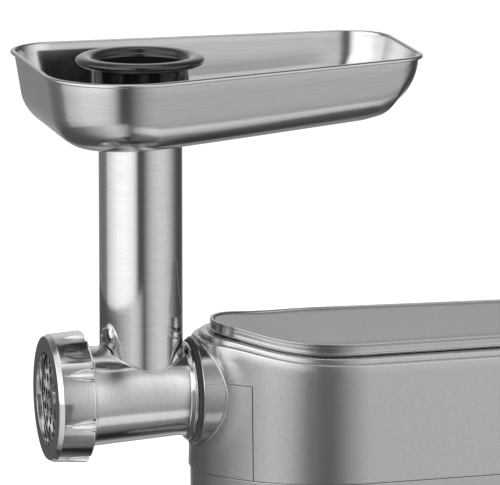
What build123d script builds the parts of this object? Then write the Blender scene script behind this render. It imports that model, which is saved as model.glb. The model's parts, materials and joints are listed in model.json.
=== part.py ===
"""Electric meat grinder: stainless grinder head on a free-standing geared motor housing.

Millimetres. +X runs along the barrel from the outlet to the rear of the housing, +Z is up.
The origin is the centre of the base footprint, on the surface that the feet stand on.
"""
import os
from math import acos, cos, degrees, radians, sin, tan

from build123d import *

os.makedirs("parts", exist_ok=True)

# ---------------------------------------------------------------- driving dimensions
axis_height = 195.0          # barrel and auger axis above the table
tube_x = -160.0              # hopper tube axis, measured from the base centre
slide_gap = 0.3              # free air between bodies that move past each other
running_gap = 0.05           # radial clearance of a shaft in its bearing
seam = 0.3                   # visible parting gap between housing pieces

# grinder head, x positions along the barrel axis
nut_front_x = tube_x - 62.0
nut_back_x = tube_x - 38.0
barrel_front_x = tube_x - 56.7
recess_back_x = tube_x - 44.0
neck_front_x = tube_x - 35.0
neck_thin_x = tube_x + 20.0
barrel_back_x = tube_x + 30.0
tail_back_x = tube_x + 56.0
thread_radius = 35.4
neck_front_radius = 32.0
neck_thin_radius = 28.2
rear_flange_radius = 32.3
bore_radius = 26.6
plate_radius = 31.0
recess_radius = plate_radius + 0.1
plate_thickness = 5.0
plate_back_x = tube_x - 52.7
plate_bore_radius = 5.0       # centre hole, on the auger's front pin
chamber_back_x = barrel_back_x - 6.0
key_x = barrel_front_x + 3.0
key_radius = 1.5
tail_radius = 21.0
tail_bore_radius = 16.0
journal_radius = 11.0         # auger tail in its bushing

# ring nut
nut_front_radius = 39.2
nut_back_radius = 42.0
nut_opening_radius = 29.2
nut_face_thickness = 4.0
nut_grips = 8
first_grip = 14.0            # degrees from the top, towards the near side
grip_length = 20.0
grip_half_width = 4.2

# hopper tube, tray and pusher
tube_radius = 26.5
tube_bore_radius = 25.0
tube_top_z = axis_height + 165.1
tray_floor_z = axis_height + 166.5
tray_rim_z = axis_height + 213.8
tray_skin = 1.0
tray_draft = 9.0
tray_floor_slope = 2.6
tray_floor_round = 16.0
rim_overhang = 2.2
rim_height = 2.6
spigot_radius = tube_bore_radius - 0.4
spigot_depth = 16.0
tray_corners = [(-68.0, 90.0), (-68.0, -102.0), (180.0, -24.0), (180.0, 90.0)]
tray_corner_radii = [30.0, 50.0, 24.0, 28.0]
pusher_ring_radius = 35.3
pusher_ring_z = axis_height + 214.8
pusher_ring_width = 5.5      # half the width of the rolled ring, and half its height
pusher_ring_height = 3.2
cup_radius = 31.2
cup_bore_radius = 28.6
cup_bottom_z = tray_floor_z + 3.2
cup_floor_z = cup_bottom_z + 3.0
plunger_radius = 23.0
plunger_wall = 2.5
plunger_bottom_z = axis_height + 50.0

# housing
nose_tip_x = tube_x + 35.0
nose_radius = 44.4
nose_half_angle = 32.5
flank_radius = 101.0
side_closing = 2.8
body_rear_x = tube_x + 285.0
rear_corner_radius = 30.0
body_draft = 3.0             # how much wider the upper shell is at its lower edge
lower_top_grow = body_draft - 1.2
lower_foot_grow = 0.5
shell_wall = 3.0
shoulder_z = axis_height + 26.5
split_z = axis_height - 50.0
base_z = 14.0
nose_rise = 8.2              # the top rises this much towards the nose
rise_start_x = tube_x + 118.0
panel_edge_x = tube_x + 61.2
panel_top_z = axis_height + 11.0

# hub
collar_front_x = tube_x + 33.0
collar_radius = 34.8
collar_back_x = tube_x + 64.0
sleeve_radius = 23.4

# gear train: motor pinion, countershaft, output
gear_module = 1.25
pinion_teeth = 17
counter_teeth = 72
output_teeth = 46
counter_height = axis_height - gear_module * (pinion_teeth + output_teeth) / 2
motor_height = counter_height - gear_module * (pinion_teeth + counter_teeth) / 2
output_gear_x = tube_x + 96.0
output_gear_width = 13.0
counter_gear_x = tube_x + 114.0
counter_gear_width = 9.0
front_plate_x = tube_x + 86.0
rear_plate_x = tube_x + 128.0
plate_wall = 4.0
bearing_width = 8.0

# motor
stator_x = tube_x + 150.0
stator_length = 50.0
stator_radius = 40.0
stator_corner = 14.0
rotor_radius = 24.0
motor_shaft_radius = 4.0
motor_rear_x = tube_x + 240.0

# feet and controls
foot_radius = 12.0
foot_x = (-80.0, 98.0)
foot_y = 42.0
knob_x = 40.0
knob_z = 84.0
knob_radius = 21.0
spindle_radius = 3.0
button_x = knob_x - 46.0
button_radius = 8.0
lock_radius = 10.0
slot_z = 105.0               # rear air slots
slot_count = 9
slot_spacing = 6.5
slot_length = 48.0
slot_width = 3.0
inlet_z = 62.0
inlet_width = 34.0
inlet_height = 26.0


# ---------------------------------------------------------------- shared shapes
def across(x, height=axis_height):
    """Plane square to the barrel direction at x, centred on a shaft at this height."""
    return Plane(origin=(x, 0, height), x_dir=(0, 1, 0), z_dir=(1, 0, 0))


def turned(outline, height=axis_height, mode=Mode.ADD):
    """Turn a closed outline of (x, radius) points about a shaft that lies along X."""
    with BuildSketch(Plane(origin=(0, 0, height), x_dir=(1, 0, 0), z_dir=(0, -1, 0))) as half:
        with BuildLine():
            Polyline(*outline, close=True)
        make_face()
    revolve(half.sketch, axis=Axis((0, 0, height), (1, 0, 0)), mode=mode)


def ring(front_x, back_x, outer, inner=0.0, height=axis_height, mode=Mode.ADD):
    """Plain ring, or a disc when inner is 0, along the barrel direction."""
    turned([(front_x, inner), (back_x, inner), (back_x, outer), (front_x, outer)], height, mode)


def plan_face(z, grow=0.0):
    """Plan of the housing at height z: blunt nose, sides that close in, rounded rear corners."""
    tip_x = nose_tip_x - grow
    nose = nose_radius + grow
    flank = flank_radius + grow
    turn = radians(nose_half_angle)
    closing = radians(side_closing)
    join = (tip_x + nose * (1 - cos(turn)), -nose * sin(turn))
    widest = (join[0] + flank * (cos(turn) + sin(closing)), join[1] + flank * (sin(turn) - cos(closing)))
    rear_x = body_rear_x + grow
    rear_half_width = -widest[1] - (rear_x - widest[0]) * tan(closing)
    with BuildSketch(Plane.XY.offset(z)) as plan:
        with BuildLine():
            ThreePointArc(join, (tip_x, 0), (join[0], -join[1]))
            near_flank = TangentArc(join, widest, tangent=(sin(turn), -cos(turn)))
            mirror(near_flank, about=Plane.XZ)
            FilletPolyline(widest, (rear_x, -rear_half_width), (rear_x, rear_half_width),
                           (widest[0], -widest[1]), radius=rear_corner_radius + grow)
        make_face()
    return plan.sketch


def above_line(height):
    """Block of everything above the line of the top, which lifts towards the nose."""
    far = 500.0
    with BuildSketch(Plane.XZ) as side:
        with BuildLine():
            tip_x = nose_tip_x + 8.0
            Spline((rise_start_x, height), (tube_x + 80.0, height + nose_rise * 0.37),
                   (tube_x + 62.0, height + nose_rise * 0.8), (tip_x, height + nose_rise),
                   tangents=[(-1, 0), (-1, 0)])
            Polyline((tip_x, height + nose_rise), (-far, height + nose_rise), (-far, far),
                     (far, far), (far, height), (rise_start_x, height))
        make_face()
    return extrude(side.sketch, amount=200.0, both=True, mode=Mode.PRIVATE)


def tier(grow, bottom, top):
    """Band of the housing top between two heights, following the lift of the nose."""
    block = extrude(plan_face(bottom - 1.0, grow), amount=top - bottom + 20.0, mode=Mode.PRIVATE)
    return (block & above_line(bottom)) - above_line(top)


def shell_block(grow_top, grow_bottom, bottom, top):
    """Tapered block of the housing between two heights."""
    return loft([plan_face(bottom, grow_bottom), plan_face(top, grow_top)], ruled=True, mode=Mode.PRIVATE)


def gear_face(plane, teeth, module, first_tooth, bore, slack=0.16):
    """Spur gear outline with a tooth centred at first_tooth degrees and a round bore."""
    pitch = teeth * module / 2
    base = pitch * cos(radians(20))
    half_tooth = 90.0 / teeth - degrees(slack * module / pitch)
    pitch_roll = degrees(tan(acos(base / pitch)) - acos(base / pitch))

    def half_angle(radius):
        """Half the tooth's angular thickness at a radius, on an involute flank."""
        pressure = acos(min(1.0, base / max(radius, base)))
        return half_tooth + pitch_roll - degrees(tan(pressure) - pressure)

    root = pitch - 1.3 * module
    tip = pitch + 0.95 * module
    flank = [root, pitch - 0.5 * module, pitch + 0.25 * module, tip]
    points = []
    for tooth in range(teeth):
        centre = first_tooth + tooth * 360.0 / teeth
        for radius in flank:
            angle = radians(centre - half_angle(radius))
            points.append((radius * cos(angle), radius * sin(angle)))
        for radius in reversed(flank):
            angle = radians(centre + half_angle(radius))
            points.append((radius * cos(angle), radius * sin(angle)))
    with BuildSketch(plane) as outline:
        with BuildLine():
            Polyline(*points, close=True)
        make_face()
        Circle(bore, mode=Mode.SUBTRACT)
    return outline.sketch


def tray_face(z, shrink=0.0):
    """Tray plan about the tube axis, as a face at height z."""
    points = [(tube_x + x, y) for x, y in tray_corners]
    with BuildSketch(Plane.XY.offset(z)) as plan:
        with BuildLine():
            FilletPolyline(*points, radius=tray_corner_radii, close=True)
        make_face()
        if shrink:
            offset(amount=-shrink, kind=Kind.ARC)
    return plan.sketch


# ---------------------------------------------------------------- grinder head
neck_outline = [
    (barrel_front_x, 0), (barrel_front_x, thread_radius), (nut_back_x - 2, thread_radius),
    (nut_back_x - 2, 33.0), (neck_front_x, 33.0), (neck_front_x, neck_front_radius),
    (neck_thin_x, neck_thin_radius), (neck_thin_x + 4.5, neck_thin_radius + 0.8),
    (neck_thin_x + 7.5, neck_thin_radius + 2.4), (barrel_back_x - 1, rear_flange_radius),
    (barrel_back_x, rear_flange_radius), (barrel_back_x, 0),
]

with BuildPart() as barrel_body:
    turned(neck_outline)
    ring(barrel_back_x, tail_back_x, tail_radius)
    ring(barrel_front_x, recess_back_x, recess_radius, mode=Mode.SUBTRACT)
    ring(recess_back_x, chamber_back_x, bore_radius, mode=Mode.SUBTRACT)
    ring(chamber_back_x, tail_back_x, tail_bore_radius, mode=Mode.SUBTRACT)
    with BuildSketch(Plane(origin=(tube_x, 0, axis_height))):
        Circle(tube_bore_radius)
    extrude(amount=40, mode=Mode.SUBTRACT)
    with Locations((key_x, 0, axis_height + recess_radius)):
        Cylinder(radius=key_radius, height=6.0, mode=Mode.SUBTRACT)

with BuildPart() as barrel_envelope:
    turned(neck_outline)

with BuildPart() as hopper_tube:
    with BuildSketch(Plane(origin=(tube_x, 0, axis_height))):
        Circle(tube_radius)
        Circle(tube_bore_radius, mode=Mode.SUBTRACT)
    extrude(amount=tube_top_z - axis_height)
    add(barrel_envelope.part, mode=Mode.SUBTRACT)

with BuildPart() as auger_bushing:
    ring(chamber_back_x + 2, tail_back_x - 1, tail_bore_radius, journal_radius + running_gap)

with BuildPart() as plate_key:
    with Locations((key_x, 0, axis_height + recess_radius + 1.25)):
        Cylinder(radius=key_radius, height=3.5)

plate_hole_radius = 2.9
plate_hole_rings = ((11.5, 6), (18.0, 11), (24.8, 16))
with BuildPart() as hole_plate:
    with BuildSketch(across(plate_back_x - plate_thickness)):
        Circle(plate_radius)
        Circle(plate_bore_radius + running_gap, mode=Mode.SUBTRACT)
        for ring_radius, count in plate_hole_rings:
            with PolarLocations(ring_radius, count):
                Circle(plate_hole_radius, mode=Mode.SUBTRACT)
        with Locations((0, plate_radius)):
            Rectangle(2 * key_radius + 0.4, 4.4, mode=Mode.SUBTRACT)
    extrude(amount=plate_thickness)

# ---------------------------------------------------------------- auger and blade
blade_thickness = 4.0
blade_front_x = plate_back_x + slide_gap
blade_back_x = blade_front_x + blade_thickness
square_side = 11.6           # square of the auger that drives the blade
flight_front_x = tube_x - 43.0
flight_back_x = tube_x + 20.0
flight_pitch = 21.0
core_radius = 11.5
flight_radius = 25.6
flight_mid_radius = 16.0
flight_tip = flight_radius - flight_mid_radius
flight_root = 8.0 - flight_mid_radius

with BuildPart() as auger_screw:
    ring(nut_front_x + 3.4, blade_front_x, plate_bore_radius)
    with BuildSketch(across(blade_front_x)):
        RectangleRounded(square_side, square_side, 1.5)
    extrude(amount=6.0)
    turned([
        (blade_back_x + 0.2, 0), (blade_back_x + 0.2, 9.5), (flight_front_x, core_radius),
        (flight_back_x, core_radius + 2), (flight_back_x, flight_radius),
        (chamber_back_x - 0.5, flight_radius), (chamber_back_x - 0.5, journal_radius),
        (tail_back_x, journal_radius), (tail_back_x, 0),
    ])
    with BuildLine():
        flight_path = Helix(flight_pitch, flight_back_x - flight_front_x, flight_mid_radius,
                            center=(flight_front_x, 0, axis_height), direction=(1, 0, 0))
    outward = flight_path @ 0 - Vector(flight_front_x, 0, axis_height)
    with BuildSketch(Plane(origin=flight_path @ 0, x_dir=outward, z_dir=flight_path % 0)) as flight_section:
        with BuildLine():
            Polyline((flight_root, -2.6), (flight_tip, -1.3), (flight_tip, 1.3), (flight_root, 2.6),
                     close=True)
        make_face()
    sweep(sections=flight_section.sketch, path=flight_path, is_frenet=True)

with BuildPart() as cross_blade:
    with BuildSketch(across(blade_front_x)):
        Circle(journal_radius)
        with PolarLocations(0, 4):
            Polygon((0, -4.5), (18, -7.0), (29.5, -7.5), (29.5, -2.0), (18, 3.0), (0, 6.0), align=None)
        Circle(30.0, mode=Mode.INTERSECT)
        Rectangle(square_side + 0.2, square_side + 0.2, mode=Mode.SUBTRACT)
    extrude(amount=blade_thickness)

hexagon_radius = 8.6
hexagon_front_x = tail_back_x + 4.2
with BuildPart() as drive_tail:
    ring(hexagon_front_x - 4.0, hexagon_front_x, 15.0)
    with BuildSketch(across(hexagon_front_x)):
        RegularPolygon(radius=hexagon_radius, side_count=6)
    extrude(amount=13.0)

# ---------------------------------------------------------------- ring nut
with BuildPart() as grip_cutter:
    with BuildSketch(Plane.XY):
        with BuildLine():
            bulge = ThreePointArc((0, 0), (grip_length * 0.45, grip_half_width * 0.68),
                                  (grip_length, grip_half_width))
            Polyline(bulge @ 1, (grip_length + 4, grip_half_width), (grip_length + 4, 0), (0, 0))
        make_face()
    revolve(axis=Axis.X)

with BuildPart() as ring_nut:
    turned([
        (nut_front_x, nut_opening_radius), (nut_front_x, nut_front_radius),
        (nut_front_x + 2.6, nut_front_radius + 1.6), (nut_back_x, nut_back_radius),
        (nut_back_x, thread_radius + slide_gap),
        (nut_front_x + nut_face_thickness, thread_radius + slide_gap),
        (nut_front_x + nut_face_thickness, nut_opening_radius),
    ])
    for grip in range(nut_grips):
        turn = first_grip - 90.0 + grip * 360.0 / nut_grips
        cutter = Pos(nut_back_x - grip_length, 0, 0) * Pos(0, 0, nut_back_radius + 1.0) * grip_cutter.part
        cutter = Rot(turn, 0, 0) * cutter
        add(Pos(0, 0, axis_height) * cutter, mode=Mode.SUBTRACT)

# ---------------------------------------------------------------- tray
floor_plane = Plane(origin=(tube_x, 0, tray_floor_z)).rotated((0, -tray_floor_slope, 0))


def tray_block(shrink):
    """Solid tray, shrunk by a wall thickness, with drafted sides and a rounded sloping floor."""
    with BuildPart() as block:
        extrude(tray_face(tray_rim_z, shrink), amount=tray_floor_z - tray_rim_z - 4.5, taper=tray_draft)
        split(bisect_by=floor_plane.offset(shrink), keep=Keep.TOP)
        floor_face = block.faces().sort_by(Axis.Z)[0]
        fillet(floor_face.edges(), radius=tray_floor_round - shrink)
    return block.part


with BuildPart() as feed_tray:
    add(tray_block(0.0))
    extrude(tray_face(tray_rim_z - rim_height, -rim_overhang), amount=rim_height)
    add(tray_block(tray_skin), mode=Mode.SUBTRACT)
    with BuildSketch(Plane(origin=(tube_x, 0, tray_floor_z - spigot_depth))):
        Circle(spigot_radius)
    extrude(amount=2 * spigot_depth, mode=Mode.SUBTRACT)

with BuildPart() as tray_collar:
    with BuildSketch(Plane(origin=(tube_x, 0, tray_floor_z - spigot_depth))):
        Circle(spigot_radius)
        Circle(spigot_radius - tray_skin, mode=Mode.SUBTRACT)
    extrude(amount=spigot_depth + 1.5)

# ---------------------------------------------------------------- pusher
pusher_plane = Plane(origin=(tube_x, 0, 0), x_dir=(1, 0, 0), z_dir=(0, -1, 0))
pusher_axis = Axis((tube_x, 0, 0), (0, 0, 1))

with BuildPart() as pusher_cup:
    with BuildSketch(pusher_plane):
        with BuildLine():
            Polyline((0, cup_bottom_z), (cup_radius, cup_bottom_z), (cup_radius, pusher_ring_z),
                     (cup_bore_radius, pusher_ring_z), (cup_bore_radius, cup_floor_z),
                     (0, cup_floor_z), close=True)
        make_face()
        with Locations((pusher_ring_radius, pusher_ring_z)):
            Ellipse(pusher_ring_width, pusher_ring_height)
        with BuildLine():
            Polyline((cup_bore_radius, pusher_ring_z + 4), (0, pusher_ring_z + 4), (0, cup_floor_z),
                     (cup_bore_radius, cup_floor_z), close=True)
        make_face(mode=Mode.SUBTRACT)
    revolve(axis=pusher_axis)

with BuildPart() as pusher_plunger:
    with BuildSketch(pusher_plane):
        with BuildLine():
            Polyline((0, plunger_bottom_z), (plunger_radius - 2, plunger_bottom_z),
                     (plunger_radius, plunger_bottom_z + 2), (plunger_radius, cup_bottom_z),
                     (plunger_radius - plunger_wall, cup_bottom_z),
                     (plunger_radius - plunger_wall, plunger_bottom_z + 3),
                     (0, plunger_bottom_z + 3), close=True)
        make_face()
    revolve(axis=pusher_axis)

# ---------------------------------------------------------------- hub
with BuildPart() as hub_collar:
    ring(collar_front_x, collar_back_x, collar_radius, sleeve_radius + 0.1)
    fillet(hub_collar.edges().group_by(Axis.X)[0].sort_by(SortBy.LENGTH)[-1], radius=0.8)
    ring(collar_front_x, collar_front_x + 4.0, collar_radius - 1.4, mode=Mode.SUBTRACT)

with BuildPart() as hub_seal:
    ring(barrel_back_x + 0.6, collar_front_x + 3.9, collar_radius - 1.5, tail_radius + 0.6)

with BuildPart() as hub_sleeve:
    ring(collar_front_x + 4.1, front_plate_x, sleeve_radius, tail_radius + running_gap)

# ---------------------------------------------------------------- housing
housing_top_z = shoulder_z + nose_rise + 4.0
upper_outer = shell_block(0.0, body_draft, split_z + seam / 2, housing_top_z) - above_line(shoulder_z)
upper_outer = upper_outer + tier(-3.0, shoulder_z - 0.5, shoulder_z + 3.0)
upper_inner = (shell_block(-shell_wall, body_draft - shell_wall, split_z - 1, housing_top_z)
               - above_line(shoulder_z - shell_wall))
hub_hole = Pos(nose_tip_x, 0, axis_height) * Rot(0, 90, 0) * Cylinder(collar_radius + 0.1, 80)
upper_shell = upper_outer - upper_inner - hub_hole

panel_length = panel_edge_x - nose_tip_x + 20.0
panel_height = panel_top_z - split_z + 20.0
panel_centre = Pos(panel_edge_x - panel_length / 2, 0, panel_top_z - panel_height / 2)
panel_cut = panel_centre * Box(panel_length, 160.0, panel_height)
panel_block = Pos(-seam, 0, -seam) * panel_cut

with BuildPart() as upper_housing:
    add(upper_shell - panel_cut)
    add(tier(-22.0, shoulder_z - 8.0, shoulder_z + 6.0), mode=Mode.SUBTRACT)

with BuildPart() as front_panel:
    add(upper_shell & panel_block)

lower_top_z = split_z - seam / 2
with BuildPart() as lower_housing:
    add(shell_block(lower_top_grow, lower_foot_grow, base_z, lower_top_z))
    add(shell_block(lower_top_grow - shell_wall, lower_foot_grow - shell_wall, base_z - 1, lower_top_z + 1),
        mode=Mode.SUBTRACT)
    with BuildSketch(Plane.YZ.offset(body_rear_x - 10)):
        with Locations((0, slot_z)):
            with GridLocations(slot_spacing, 1, slot_count, 1):
                SlotOverall(slot_length, slot_width, rotation=90)
        with Locations((0, inlet_z)):
            Rectangle(inlet_width + 0.2, inlet_height + 0.2)
    extrude(amount=30, mode=Mode.SUBTRACT)
    for x, radius in ((knob_x, spindle_radius + 0.4), (button_x, button_radius + 0.4)):
        with Locations((x, -70.0, knob_z)):
            Cylinder(radius, 40, rotation=(90, 0, 0), mode=Mode.SUBTRACT)

# bands of the rim: outward growth of the plan, lower and upper height above the shoulder
rim_bands = ((-13.0, 3.0, 4.1), (-9.8, 4.0, 5.1), (-11.0, 5.0, 10.0), (-10.8, 9.9, 11.0))
with BuildPart() as top_rim:
    for grow, bottom, top in rim_bands:
        add(tier(grow, shoulder_z + bottom, shoulder_z + top))
    add(tier(-13.6, shoulder_z + 5.0, shoulder_z + 12.0), mode=Mode.SUBTRACT)
    add(tier(-22.0, shoulder_z + 2.0, shoulder_z + 6.0), mode=Mode.SUBTRACT)

with BuildPart() as top_panel:
    add(tier(-13.7, shoulder_z + 5.1, shoulder_z + 10.2))

base_top_z = base_z + 4.0
with BuildPart() as base_plate:
    add(extrude(plan_face(base_z, 0.4 - shell_wall), amount=base_top_z - base_z, mode=Mode.PRIVATE))

# ---------------------------------------------------------------- feet and fasteners
foot_places = {
    "foot_front_near": (foot_x[0], -foot_y), "foot_front_far": (foot_x[0], foot_y),
    "foot_rear_near": (foot_x[1], -foot_y), "foot_rear_far": (foot_x[1], foot_y),
}
feet = {}
for foot_name, (x, y) in foot_places.items():
    with BuildPart() as foot:
        with Locations((x, y, 0)):
            Cone(foot_radius - 1.5, foot_radius, base_z, align=(Align.CENTER, Align.CENTER, Align.MIN))
    feet[foot_name] = foot

with BuildPart() as base_screws:
    with Locations(*[(x, y, base_top_z) for x in (-52.0, 60.0) for y in (-50.0, 50.0)]):
        Cylinder(4.0, 2.0, align=(Align.CENTER, Align.CENTER, Align.MIN))

# ---------------------------------------------------------------- gearbox
shaft_radius = 10.0
counter_shaft_radius = 6.0
bearing_radius = 11.0
plate_bottom_z = 40.0
plate_top_z = axis_height + 20.0
front_plate_back_x = front_plate_x + plate_wall
rear_plate_back_x = rear_plate_x + plate_wall
spacer_places = [(y, z) for y in (-47.0, 47.0) for z in (plate_bottom_z + 10, axis_height + 11.0)]


def gear_plate(x, half_width, holes):
    """Upright plate with round holes, each given as (height, radius)."""
    with BuildSketch(Plane.YZ.offset(x)) as face:
        with Locations((0, (plate_bottom_z + plate_top_z) / 2)):
            RectangleRounded(2 * half_width, plate_top_z - plate_bottom_z, 8.0)
        for height, radius in holes:
            with Locations((0, height)):
                Circle(radius, mode=Mode.SUBTRACT)
    extrude(face.sketch, amount=plate_wall)


with BuildPart() as gearbox_front_plate:
    gear_plate(front_plate_x, 52.0, ((axis_height, 16.0), (counter_height, bearing_radius)))

with BuildPart() as gearbox_rear_plate:
    gear_plate(rear_plate_x, 54.0, ((counter_height, bearing_radius), (motor_height, bearing_radius)))

with BuildPart() as gearbox_spacers:
    for y, z in spacer_places:
        with Locations(Plane(origin=(front_plate_back_x, y, z), z_dir=(1, 0, 0))):
            Cylinder(4.0, rear_plate_x - front_plate_back_x, align=(Align.CENTER, Align.CENTER, Align.MIN))

with BuildPart() as gearbox_bearings:
    ring(front_plate_x, front_plate_x + bearing_width, 16.0, shaft_radius + running_gap)
    for front_x, shaft, height in (
        (front_plate_x - 4, counter_shaft_radius, counter_height),
        (rear_plate_x - 2, counter_shaft_radius, counter_height),
        (rear_plate_x - 2, motor_shaft_radius, motor_height),
    ):
        ring(front_x, front_x + bearing_width, bearing_radius, shaft + running_gap, height)

socket_radius = 17.0
socket_front_x = tube_x + 62.0
socket_back_x = tube_x + 80.0
with BuildPart() as output_bearing:
    ring(socket_front_x + 4, socket_front_x + 12, tail_radius, socket_radius + running_gap)

with BuildPart() as output_shaft:
    ring(socket_front_x, socket_back_x, socket_radius)
    ring(socket_back_x, output_gear_x + output_gear_width + 2, shaft_radius)
    with BuildSketch(across(socket_front_x)):
        RegularPolygon(radius=hexagon_radius + slide_gap, side_count=6)
    extrude(amount=14.0, mode=Mode.SUBTRACT)

with BuildPart() as output_gear:
    extrude(gear_face(across(output_gear_x), output_teeth, gear_module, 180 / output_teeth - 90,
                      shaft_radius), amount=output_gear_width)

with BuildPart() as counter_shaft:
    ring(front_plate_x - 3, rear_plate_x + 5, counter_shaft_radius, height=counter_height)

with BuildPart() as counter_pinion:
    extrude(gear_face(across(output_gear_x, counter_height), pinion_teeth, gear_module, 90,
                      counter_shaft_radius), amount=output_gear_width)

with BuildPart() as counter_gear:
    extrude(gear_face(across(counter_gear_x, counter_height), counter_teeth, gear_module,
                      180 / counter_teeth - 90, counter_shaft_radius), amount=counter_gear_width)

# ---------------------------------------------------------------- motor
stator_back_x = stator_x + stator_length
with BuildPart() as motor_pinion:
    extrude(gear_face(across(counter_gear_x - 1, motor_height), pinion_teeth, gear_module, 90,
                      motor_shaft_radius), amount=counter_gear_width + 2)

with BuildPart() as motor_shaft:
    ring(counter_gear_x - 2, motor_rear_x + 6, motor_shaft_radius, height=motor_height)

with BuildPart() as rotor_core:
    ring(stator_x, stator_back_x, rotor_radius, motor_shaft_radius, motor_height)
    with BuildSketch(across(stator_x, motor_height)):
        with PolarLocations(rotor_radius - 3.5, 12):
            Rectangle(7.0, 2.4)
    extrude(amount=stator_length, mode=Mode.SUBTRACT)

end_turns = ((stator_x - 8, stator_x - 0.2), (stator_back_x + 0.2, stator_back_x + 8))
with BuildPart() as rotor_windings:
    for front_x, back_x in end_turns:
        ring(front_x, back_x, rotor_radius - 5, motor_shaft_radius + 3, motor_height)

commutator_x = stator_back_x + 12.0
commutator_radius = 11.0
with BuildPart() as commutator:
    ring(commutator_x, commutator_x + 14, commutator_radius, motor_shaft_radius, motor_height)

fan_x = rear_plate_x + 7.2
fan_width = 5.0
fan_radius = 34.0
fan_blades = 11
with BuildPart() as cooling_fan:
    ring(fan_x, fan_x + fan_width, 9.0, motor_shaft_radius, motor_height)
    ring(fan_x, fan_x + 1.2, fan_radius, 8.5, motor_height)
    with BuildSketch(across(fan_x, motor_height)):
        with PolarLocations(0, fan_blades):
            with Locations((21.0, 0)):
                Rectangle(25.0, 1.4, rotation=12)
        Circle(fan_radius, mode=Mode.INTERSECT)
    extrude(amount=fan_width)

with BuildPart() as stator_core:
    with BuildSketch(across(stator_x, motor_height)):
        RectangleRounded(2 * stator_radius, 2 * stator_radius, stator_corner)
        Circle(rotor_radius + 1.0, mode=Mode.SUBTRACT)
    extrude(amount=stator_length)

with BuildPart() as field_windings:
    for front_x, back_x in end_turns:
        ring(front_x, back_x, stator_radius - 4, rotor_radius + 3, motor_height)

with BuildPart() as motor_end_bracket:
    with BuildSketch(across(motor_rear_x, motor_height)):
        RectangleRounded(86.0, 86.0, 8.0)
        Circle(bearing_radius, mode=Mode.SUBTRACT)
    extrude(amount=plate_wall)

with BuildPart() as motor_rear_bearing:
    ring(motor_rear_x - 3, motor_rear_x + 5, bearing_radius, motor_shaft_radius + running_gap, motor_height)

rod_offset = 38.0
with BuildPart() as motor_tie_rods:
    for y in (-rod_offset, rod_offset):
        for z in (motor_height - rod_offset, motor_height + rod_offset):
            with Locations(Plane(origin=(rear_plate_back_x, y, z), z_dir=(1, 0, 0))):
                Cylinder(2.5, motor_rear_x - rear_plate_back_x,
                         align=(Align.CENTER, Align.CENTER, Align.MIN))
    with BuildSketch(across(stator_x - 1, motor_height)):
        RectangleRounded(2 * stator_radius + 0.2, 2 * stator_radius + 0.2, stator_corner)
    extrude(amount=stator_length + 2, mode=Mode.SUBTRACT)

with BuildPart() as motor_cradle:
    with Locations((stator_x + stator_length / 2, 0, base_top_z)):
        Box(stator_length - 6, 70.0, motor_height - stator_radius - base_top_z,
            align=(Align.CENTER, Align.CENTER, Align.MIN))

brush_x = commutator_x + 7.0
with BuildPart() as motor_brushes:
    for side in (-1, 1):
        with Locations((brush_x, side * (commutator_radius + 7.3), motor_height)):
            Box(8.0, 14.0, 8.0)

with BuildPart() as brush_holders:
    for side in (-1, 1):
        with Locations((brush_x, side * (commutator_radius + 11.5), motor_height)):
            Box(12.0, 18.0, 12.0)
            Box(8.2, 30.0, 8.2, mode=Mode.SUBTRACT)

# ---------------------------------------------------------------- controls and supply
outline_box = plan_face(0).bounding_box()
body_half_width = outline_box.max.Y
widest_x = plan_face(0).vertices().sort_by(Axis.Y)[-1].X
side_y = body_half_width - (knob_x - widest_x) * tan(radians(side_closing)) + body_draft
near_plane = Plane(origin=(knob_x, -side_y, knob_z), x_dir=(1, 0, 0), z_dir=(0, -1, 0))
lower_block = shell_block(lower_top_grow + 0.1, lower_foot_grow + 0.1, base_z, lower_top_z)

with BuildPart() as knob_bezel:
    with BuildSketch(near_plane.offset(-7)):
        Circle(knob_radius + 4.0)
    extrude(amount=8.5)
    add(lower_block, mode=Mode.SUBTRACT)
    with BuildSketch(near_plane.offset(-8)):
        Circle(spindle_radius + 0.4)
    extrude(amount=12, mode=Mode.SUBTRACT)

with BuildPart() as speed_knob:
    with BuildSketch(near_plane.offset(1.9)):
        Circle(knob_radius)
    extrude(amount=6.0, taper=3)
    with BuildSketch(near_plane.offset(7.0)):
        SlotOverall(2 * knob_radius - 5, 9.0, rotation=90)
    extrude(amount=9.0)
    with BuildSketch(near_plane.offset(7.0)):
        with Locations((0, knob_radius - 6)):
            Rectangle(1.6, 5.0)
    extrude(amount=10.0, mode=Mode.SUBTRACT)

with BuildPart() as knob_spindle:
    with BuildSketch(near_plane.offset(-14.0)):
        Circle(spindle_radius)
    extrude(amount=15.9)

with BuildPart() as switch_body:
    with BuildSketch(near_plane.offset(-28.0)):
        Rectangle(30.0, 26.0)
    extrude(amount=13.7)

button_plane = Plane(origin=(button_x, -side_y - 2.2, knob_z), x_dir=(1, 0, 0), z_dir=(0, -1, 0))
with BuildPart() as reverse_button:
    with BuildSketch(button_plane.offset(-8.0)):
        Circle(button_radius)
    extrude(amount=11.0)
    with BuildSketch(button_plane.offset(-14.0)):
        Circle(3.0)
    extrude(amount=6.5)

with BuildPart() as circuit_board:
    with Locations((knob_x - 26.0, -56.0, 122.0)):
        Box(60.0, 1.6, 30.0)

lock_x = tube_x + 143.0
lock_z = axis_height - 12.0
lock_y = body_half_width + body_draft * 0.45
lock_plane = Plane(origin=(lock_x, lock_y, lock_z), x_dir=(-1, 0, 0), z_dir=(0, 1, 0))
with BuildPart() as lock_button:
    with BuildSketch(lock_plane.offset(-8.0)):
        Circle(lock_radius)
    extrude(amount=12.0)
    with BuildSketch(lock_plane.offset(-20.0)):
        Circle(3.5)
    extrude(amount=12.5)

with BuildPart() as lock_hole:
    with BuildSketch(lock_plane.offset(-30.0)):
        Circle(lock_radius + 0.4)
    extrude(amount=60.0)

with upper_housing:
    add(lock_hole.part, mode=Mode.SUBTRACT)

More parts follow.
